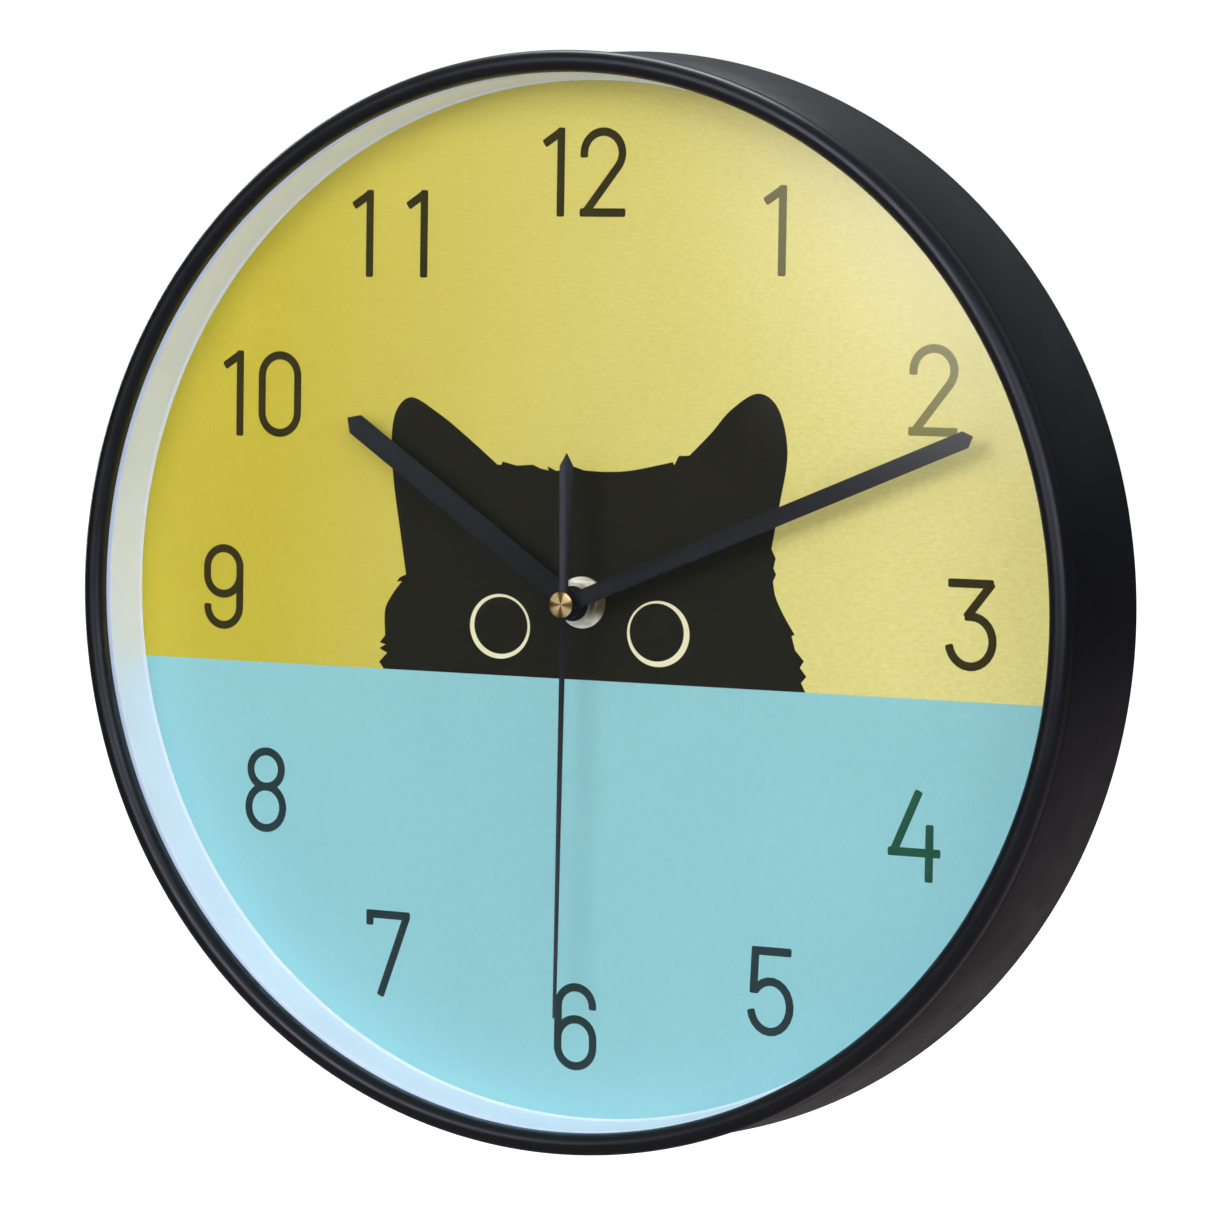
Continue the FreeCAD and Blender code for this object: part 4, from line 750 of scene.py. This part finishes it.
def digit_four():
    return [
        [(8.7, DIGIT_HEIGHT), (1.5, 7.4)],
        [(0, 7.7), (15.0, 7.7)],
        [(11.8, 15.2), (11.8, 0)],
    ]


def digit_five():
    return [
        [(1.3, 22.85), (12.6, 22.85)],
        [(2.1, DIGIT_HEIGHT), (1.6, 11.3)],
        arc(6.6, 7.95, 5.75, 6.8, 146, -172),
    ]


def digit_six():
    lower_bowl = arc(6.5, 6.5, 5.35, 5.35, 180, 360) + arc(6.5, 8.7, 5.35, 5.35, 0, 180)
    return [
        [(11.6, 16.9)] + arc(6.4, 17.6, 5.25, 5.25, 4, 180) + [(1.15, 5.0)],
        lower_bowl + [(1.15, 6.0)],
    ]


def digit_seven():
    return [
        [(0, 22.85), (13.9, 22.85)],
        [(1.15, DIGIT_HEIGHT), (1.15, 19.7)],
        [(13.0, 23.1), (4.7, 0)],
    ]


def digit_eight():
    return [
        arc(6.7, 7.05, 5.55, 5.9, 90, 455, 40),
        arc(6.7, 17.85, 5.0, 5.0, 90, 455, 40),
    ]


def digit_nine():
    """A six turned half round."""
    return [[(SIX_WIDTH - x, DIGIT_HEIGHT - z) for x, z in line] for line in digit_six()]


def digit_nought():
    return [
        arc(6.9, 17.1, 5.75, 5.75, 0, 180) + arc(6.9, 6.9, 5.75, 5.75, 180, 360) + [(12.65, 17.8)],
    ]


DIGITS = {"0": digit_nought, "1": digit_one, "2": digit_two, "3": digit_three, "4": digit_four,
          "5": digit_five, "6": digit_six, "7": digit_seven, "8": digit_eight, "9": digit_nine}

# for each hour: the left edge of each of its digits, the height of their foot, and the ink
NUMERALS = {
    # 1 and 2 take the olive ink paled by painted reflection
    1: ((52.1,), 88.8, "olive with painted reflection"),
    2: ((94.6,), 47.7, "olive with strong painted reflection"),
    3: ((106.3,), -13.1, "olive"),
    4: ((91.1,), -69.2, "green"),
    5: ((51.4,), -113.7, "slate"),
    6: ((-6.7,), -128.1, "slate"),
    7: ((-66.1,), -112.6, "slate"),
    8: ((-105.8,), -69.2, "slate"),
    9: ((-120.2,), -12.4, "olive"),
    10: ((-114.3, -102.8), 42.3, "olive"),
    11: ((-73.0, -55.9), 87.3, "olive"),
    12: ((-13.9, -2.6), 104.2, "olive"),
}


def make_numerals(finishes):
    for hour, (lefts, foot, colour) in NUMERALS.items():
        polygons = []
        for digit, left in zip(str(hour), lefts):
            for line in DIGITS[digit]():
                polygons += stroke([(x + left, z + foot) for x, z in line])
        printed_piece(f"numeral_{hour}", area_of(polygons), 2, finishes[colour])


# ---------------------------------------------------------------- hands

HAND_THICKNESS = 0.4
HAND_EDGE = 0.1
ROOT_GAP = 0.6               # between the bore and the root of the blade
COLLAR_EDGE = 0.15

# plane is the rear face of the sheet; angle is clockwise from the 12
HANDS = {
    "hour": dict(plane=-7.15, angle=304.5, length=85.6, width=6.1, hub=4.8, bore=2.6,
                 collar_radius=3.3, collar_length=1.2),
    "minute": dict(plane=-10.15, angle=67.5, length=126.0, width=4.6, hub=4.1, bore=1.775,
                   collar_radius=2.5, collar_length=1.2),
    "second": dict(plane=-12.35, angle=180.5, hub=3.1, bore=0.5, collar_radius=1.3, collar_length=0.95),
}


def turned_by(points, angle):
    """Outline points (x, z) turned clockwise as seen from the front."""
    turn = math.radians(angle)
    return [(x * math.cos(turn) + z * math.sin(turn), z * math.cos(turn) - x * math.sin(turn))
            for x, z in points]


def build_hand(mesh, blades, plane, angle, hub, bore, collar_radius, collar_length):
    """Bevelled blades and a hub in one sheet, and the collar that grips the tube or arbor behind it."""
    outlines = [turned_by(outline, angle) for outline in blades]
    outlines.append(circle(0, 0, hub))
    corners, faces = area_of(outlines, [circle(0, 0, bore)])
    flat_bmesh(mesh, corners, faces, plane - HAND_THICKNESS, plane, HAND_EDGE)
    turned_bmesh(mesh, [
        (bore, plane - SUNK),
        (collar_radius, plane - SUNK),
        (collar_radius, plane + collar_length - COLLAR_EDGE),
        (collar_radius - COLLAR_EDGE, plane + collar_length),
        (bore, plane + collar_length),
    ], AROUND_SMALL)


def bar_with_point(length, width, start):
    half = width / 2
    return [(-half, start), (half, start), (half, length - half), (0, length), (-half, length - half)]


def make_hour_and_minute_hands(finishes):
    for kind in ("hour", "minute"):
        sizes = dict(HANDS[kind])
        blade = bar_with_point(sizes.pop("length"), sizes.pop("width"), sizes["bore"] + ROOT_GAP)
        node = f"{kind}_hand"
        make_object(f"{kind}_blade", lambda mesh: build_hand(mesh, [blade], **sizes), finishes["hand"],
                    "hand_slate", node, (node,), FLAT_SHARP)


def build_second_hand(mesh):
    """A thin needle with a spear-tipped tail, and the hub that carries the cap."""
    sizes = HANDS["second"]
    hub = sizes["hub"]
    bore = sizes["bore"]
    sheet_front = sizes["plane"] - HAND_THICKNESS
    needle = [(-0.8, 2.5), (0.8, 2.5), (0.46, 112.3), (-0.46, 112.3)]
    tail = [(1.15, -2.5), (-1.15, -2.5), (-2.0, -37.2), (0, -40.7), (2.0, -37.2)]
    build_hand(mesh, [needle, tail], **sizes)
    turned_bmesh(mesh, [
        (bore, CAP_HIGH.y),
        (hub - HAND_EDGE, CAP_HIGH.y),
        (hub, CAP_HIGH.y + HAND_EDGE),
        (hub, sheet_front + SUNK),
        (bore, sheet_front + SUNK),
    ], AROUND_SMALL)


def make_second_hand(finishes):
    make_object("second_needle", build_second_hand, finishes["hand"], "hand_slate", "second_hand",
                ("second_hand",), FLAT_SHARP)
    radius = CAP_HIGH.x
    front = CAP_LOW.y
    turned_piece("brass_cap", [
        (0, front + 0.3),
        (0.35, front + 0.28),
        (0.55, front + 0.08),
        (radius - 0.55, front),
        (radius - 0.2, front + 0.05),
        (radius - 0.05, front + 0.2),
        (radius, front + 0.4),
        (radius, CAP_HIGH.y),
        (0, CAP_HIGH.y),
    ], finishes["cap"], "cap_brass", AROUND_SMALL, body="second_hand", replaces=("second_hand_cap",))


# ---------------------------------------------------------------- back of the clock

def battery_matrix():
    """Turns pieces made about the Y axis so that they lie along X on the battery's own axis."""
    centre = (BATTERY_LOW + BATTERY_HIGH) / 2
    return Matrix.Translation((0, centre.y, centre.z)) @ Matrix.Rotation(-math.pi / 2, 4, "Z")


def make_battery(finishes):
    """A cell with a two-colour sleeve, rolled ends and its steel nub."""
    radius = (BATTERY_HIGH.z - BATTERY_LOW.z) / 2
    left = BATTERY_LOW.x
    nub = BATTERY_HIGH.x
    shoulder = nub - 1.2
    seam = shoulder - 14
    place = battery_matrix()
    sleeve = [
        (radius - 1.3, left + 0.25),
        (radius - 0.9, left + 0.02),
        (radius - 0.4, left + 0.05),
        (radius - 0.05, left + 0.4),
        (radius - 0.05, seam),
        (radius - 1.3, seam),
    ]
    band = [
        (radius - 1.3, seam),
        (radius - 0.05, seam),
        (radius - 0.05, shoulder - 0.4),
        (radius - 0.4, shoulder - 0.05),
        (radius - 0.9, shoulder - 0.02),
        (radius - 1.3, shoulder - 0.25),
    ]
    can = [
        (0, left + 0.2),
        (radius - 2.6, left + 0.2),
        (radius - 2.3, left + 0.5),
        (radius - 1.3, left + 0.5),
        (radius - 1.3, shoulder - 0.5),
        (3.3, shoulder - 0.35),
        (2.75, shoulder - 0.3),
        (2.65, nub - 0.3),
        (2.3, nub),
        (0, nub),
    ]
    for name, outline, finish in (("battery_sleeve", sleeve, "sleeve"), ("battery_band", band, "band"),
                                  ("battery_can", can, "can")):
        def build(mesh, outline=outline):
            turned_bmesh(mesh, outline, AROUND_SMALL, place)
        replaced = ("battery",) if name == "battery_sleeve" else ()
        make_object(name, build, finishes[finish], "battery_jacket", "battery", replaced)


GUARD_HEIGHT = 1.4
MARK_HEIGHT = 0.3


def raised_piece(name, polygons, plane, height, finish, slot):
    """Marks that stand out to the rear from a plane."""
    area = area_of(polygons)
    make_object(name, lambda mesh: flat_bmesh(mesh, *area, plane - SUNK, plane + height), finish, slot)


def bar(x, z, long, high):
    return [(x - long / 2, z - high / 2), (x + long / 2, z - high / 2),
            (x + long / 2, z + high / 2), (x - long / 2, z + high / 2)]


def make_back_marks(finishes):
    """Raised marks on the movement's cover: an arrow round the setting knob, and the cell's poles."""
    knob_x = (KNOB_LOW.x + KNOB_HIGH.x) / 2
    knob_z = (KNOB_LOW.z + KNOB_HIGH.z) / 2
    plane = COVER_HIGH.y - GUARD_HEIGHT
    bend = stroke(arc(knob_x, knob_z, 7.6, 7.6, 60, 150), 0.8)
    tip = arc(knob_x, knob_z, 7.6, 7.6, 150, 168, 1)[1]
    head = [tip, arc(knob_x, knob_z, 9.0, 9.0, 148, 149, 1)[0], arc(knob_x, knob_z, 6.2, 6.2, 148, 149, 1)[0]]
    raised_piece("setting_arrow", bend + [head], plane, MARK_HEIGHT, finishes["mark"], "movement_black")
    height = COVER_LOW.z + 4.5
    minus = BATTERY_LOW.x + 9
    plus = BATTERY_HIGH.x - 9
    raised_piece("minus_mark", [bar(minus, height, 4, 0.9)], plane, MARK_HEIGHT, finishes["mark"],
                 "movement_black")
    raised_piece("plus_mark", [bar(plus, height, 4, 0.9), bar(plus, height, 0.9, 4)], plane, MARK_HEIGHT,
                 finishes["mark"], "movement_black")


# ---------------------------------------------------------------- CAD nodes that stay

NODE_FINISHES = {
    "board": ("dial_plate",),
    "screw": ("dial_plate_screws", "quartz_crystal"),
    "bush": ("threaded_bush", "bush_washer", "bush_nut", "minute_tube"),
    "bracket": ("hanger_bracket",),
    "gasket": ("rubber_gasket",),
    "movement": ("movement_case", "movement_cover", "chip_cover"),
    "gear": ("middle_plate", "coil_bobbin", "hour_wheel", "centre_wheel", "minute_work_wheel", "setting_arbor",
             "third_wheel", "seconds_wheel", "intermediate_wheel", "rotor_pinion"),
    "motor": ("stator", "motor_core", "seconds_arbor", "rotor_magnet"),
    "copper": ("coil_winding",),
    "laminate": ("circuit_board",),
    "nickel": ("battery_contact_positive", "battery_contact_negative", "clutch_spring"),
    "knob": ("setting_knob",),
}


def finish_cad_nodes(finishes):
    for key, nodes in NODE_FINISHES.items():
        for name in nodes:
            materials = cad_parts[name].data.materials
            materials.clear()
            materials.append(finishes[key])


# ---------------------------------------------------------------- stage, lights and camera

def place_facing(thing, position, target=(0, 0, 0)):
    """Stands a light, card or camera at a position in metres, with its -Z towards the target."""
    thing.location = position
    toward = Vector(target) - Vector(position)
    thing.rotation_euler = toward.to_track_quat("-Z", "Y").to_euler()
    bpy.context.scene.collection.objects.link(thing)


def add_softbox(name, position, width, height, power, colour=(1, 1, 1), target=(0, 0, 0)):
    data = bpy.data.lights.new(name, "AREA")
    data.shape = "RECTANGLE"
    data.size = width
    data.size_y = height
    data.energy = power
    data.color = colour
    place_facing(bpy.data.objects.new(name, data), position, target)


def flat_stage_object(name, width, height):
    data = bpy.data.meshes.new(name)
    corners = [(-width / 2, -height / 2, 0), (width / 2, -height / 2, 0),
               (width / 2, height / 2, 0), (-width / 2, height / 2, 0)]
    data.from_pydata(corners, [], [(0, 1, 2, 3)])
    made = bpy.data.objects.new(name, data)
    return made


def add_floor():
    """A plain pale floor well below the clock."""
    floor = flat_stage_object("studio_floor", 40, 40)
    finish = Finish("studio_paper", (0.92, 0.92, 0.92, 1), 0.9, Specular_IOR_Level=0.1)
    finish.tint(finish.noise(0.6), (0.95, 0.95, 0.95, 1))
    glow = finish.tree.nodes.new("ShaderNodeEmission")
    rays = finish.tree.nodes.new("ShaderNodeLightPath")
    brighten = finish.tree.nodes.new("ShaderNodeAddShader")
    finish.tree.links.new(rays.outputs["Is Camera Ray"], glow.inputs["Strength"])
    finish.tree.links.new(finish.shader.outputs["BSDF"], brighten.inputs[0])
    finish.tree.links.new(glow.outputs["Emission"], brighten.inputs[1])
    finish.tree.links.new(brighten.outputs["Shader"], finish.output.inputs["Surface"])
    floor.data.materials.append(finish.material)
    floor.location.z = -0.9
    floor.visible_glossy = False
    floor.visible_transmission = False
    bpy.context.scene.collection.objects.link(floor)


def add_reflection_card():
    """A soft round glow that only the glass and gloss see: it pales the upper right of the dial."""
    card = flat_stage_object("reflection_card", 0.9, 0.9)
    material = bpy.data.materials.new("reflection_glow")
    material.use_nodes = True
    nodes = material.node_tree.nodes
    links = material.node_tree.links
    nodes.clear()
    output = nodes.new("ShaderNodeOutputMaterial")
    glow = nodes.new("ShaderNodeEmission")
    clear = nodes.new("ShaderNodeBsdfTransparent")
    mix = nodes.new("ShaderNodeMixShader")
    where = nodes.new("ShaderNodeTexCoord")
    scale = nodes.new("ShaderNodeMapping")
    fade = nodes.new("ShaderNodeTexGradient")
    fade.gradient_type = "QUADRATIC_SPHERE"
    scale.inputs["Scale"].default_value = (3.7, 3.7, 3.7)
    glow.inputs["Strength"].default_value = 12.0
    links.new(where.outputs["Object"], scale.inputs["Vector"])
    links.new(scale.outputs["Vector"], fade.inputs["Vector"])
    links.new(fade.outputs["Fac"], mix.inputs["Fac"])
    links.new(clear.outputs["BSDF"], mix.inputs[1])
    links.new(glow.outputs["Emission"], mix.inputs[2])
    links.new(mix.outputs["Shader"], output.inputs["Surface"])
    card.data.materials.append(material)
    card.visible_camera = False
    card.visible_diffuse = False
    card.visible_shadow = False
    place_facing(card, (-0.25, -1.084, 0.2), (-0.25, 0, 0.2))


# the room's brightness from straight down (0) through the horizon (0.5) to straight up (1)
ROOM_COLOURS = (
    (0.02, (0.14, 0.11, 0.10, 1)),
    (0.28, (0.25, 0.215, 0.22, 1)),
    (0.46, (0.025, 0.025, 0.028, 1)),
    (0.55, (0.035, 0.036, 0.04, 1)),
    (0.70, (0.20, 0.205, 0.22, 1)),
    (0.98, (0.32, 0.33, 0.35, 1)),
)


def add_world():
    """White to the camera; to everything else a dim room, paler above and brown below."""
    world = bpy.data.worlds.new("studio")
    bpy.context.scene.world = world
    world.use_nodes = True
    nodes = world.node_tree.nodes
    links = world.node_tree.links
    nodes.clear()
    output = nodes.new("ShaderNodeOutputWorld")
    seen = nodes.new("ShaderNodeBackground")
    room = nodes.new("ShaderNodeBackground")
    mix = nodes.new("ShaderNodeMixShader")
    rays = nodes.new("ShaderNodeLightPath")
    where = nodes.new("ShaderNodeTexCoord")
    split = nodes.new("ShaderNodeSeparateXYZ")
    ramp = nodes.new("ShaderNodeValToRGB")
    height = nodes.new("ShaderNodeMapRange")
    height.inputs["From Min"].default_value = -1.0
    height.inputs["From Max"].default_value = 1.0
    for place, colour in ROOM_COLOURS:
        ramp.color_ramp.elements.new(place).color = colour
    ramp.color_ramp.elements.remove(ramp.color_ramp.elements[0])
    ramp.color_ramp.elements.remove(ramp.color_ramp.elements[-1])
    seen.inputs["Color"].default_value = (1, 1, 1, 1)
    links.new(where.outputs["Generated"], split.inputs["Vector"])
    links.new(split.outputs["Z"], height.inputs["Value"])
    links.new(height.outputs["Result"], ramp.inputs["Fac"])
    links.new(ramp.outputs["Color"], room.inputs["Color"])
    links.new(rays.outputs["Is Camera Ray"], mix.inputs["Fac"])
    links.new(room.outputs["Background"], mix.inputs[1])
    links.new(seen.outputs["Background"], mix.inputs[2])
    links.new(mix.outputs["Shader"], output.inputs["Surface"])


def add_lights():
    add_softbox("key_light", (-0.35, -2.1, 0.75), 1.2, 1.0, 14)
    add_softbox("front_fill", (1.0, -1.9, 0.5), 1.3, 1.3, 6.5)
    add_softbox("right_fill", (1.9, -1.4, 0.6), 1.2, 1.4, 14.5, (0.92, 0.96, 1))
    add_softbox("rear_fill", (-2.2, 1.2, 0.6), 1.2, 1.2, 36)
    add_softbox("rear_top", (-0.6, 1.0, 2.2), 1.4, 1.0, 34)


def add_camera():
    target = Vector((4.974, 3.0, -1.309)) * MM
    distance = 1218.09 * MM
    azimuth = math.radians(26.588)
    elevation = math.radians(3.802)
    roll = math.radians(0.879)
    back = Vector((math.sin(azimuth) * math.cos(elevation),
                   -math.cos(azimuth) * math.cos(elevation),
                   math.sin(elevation)))
    data = bpy.data.cameras.new("camera")
    data.sensor_width = 36
    data.lens = 132.95
    data.clip_start = 0.05
    data.clip_end = 60
    camera = bpy.data.objects.new("camera", data)
    turn = back.to_track_quat("Z", "Y").to_matrix().to_4x4() @ Matrix.Rotation(roll, 4, "Z")
    camera.matrix_world = Matrix.Translation(target + back * distance) @ turn
    bpy.context.scene.collection.objects.link(camera)
    bpy.context.scene.camera = camera


# ---------------------------------------------------------------- build

def build_clock():
    finishes = make_materials()
    make_rim(finishes)
    make_glass(finishes)
    make_ring(finishes)
    make_dial_face(finishes)
    make_blue_half(finishes)
    make_cat(finishes)
    make_numerals(finishes)
    make_hour_and_minute_hands(finishes)
    make_second_hand(finishes)
    make_battery(finishes)
    make_back_marks(finishes)
    finish_cad_nodes(finishes)


def build_studio():
    bpy.context.scene.view_settings.view_transform = "Standard"
    add_world()
    add_floor()
    add_reflection_card()
    add_lights()
    add_camera()


build_clock()
build_studio()
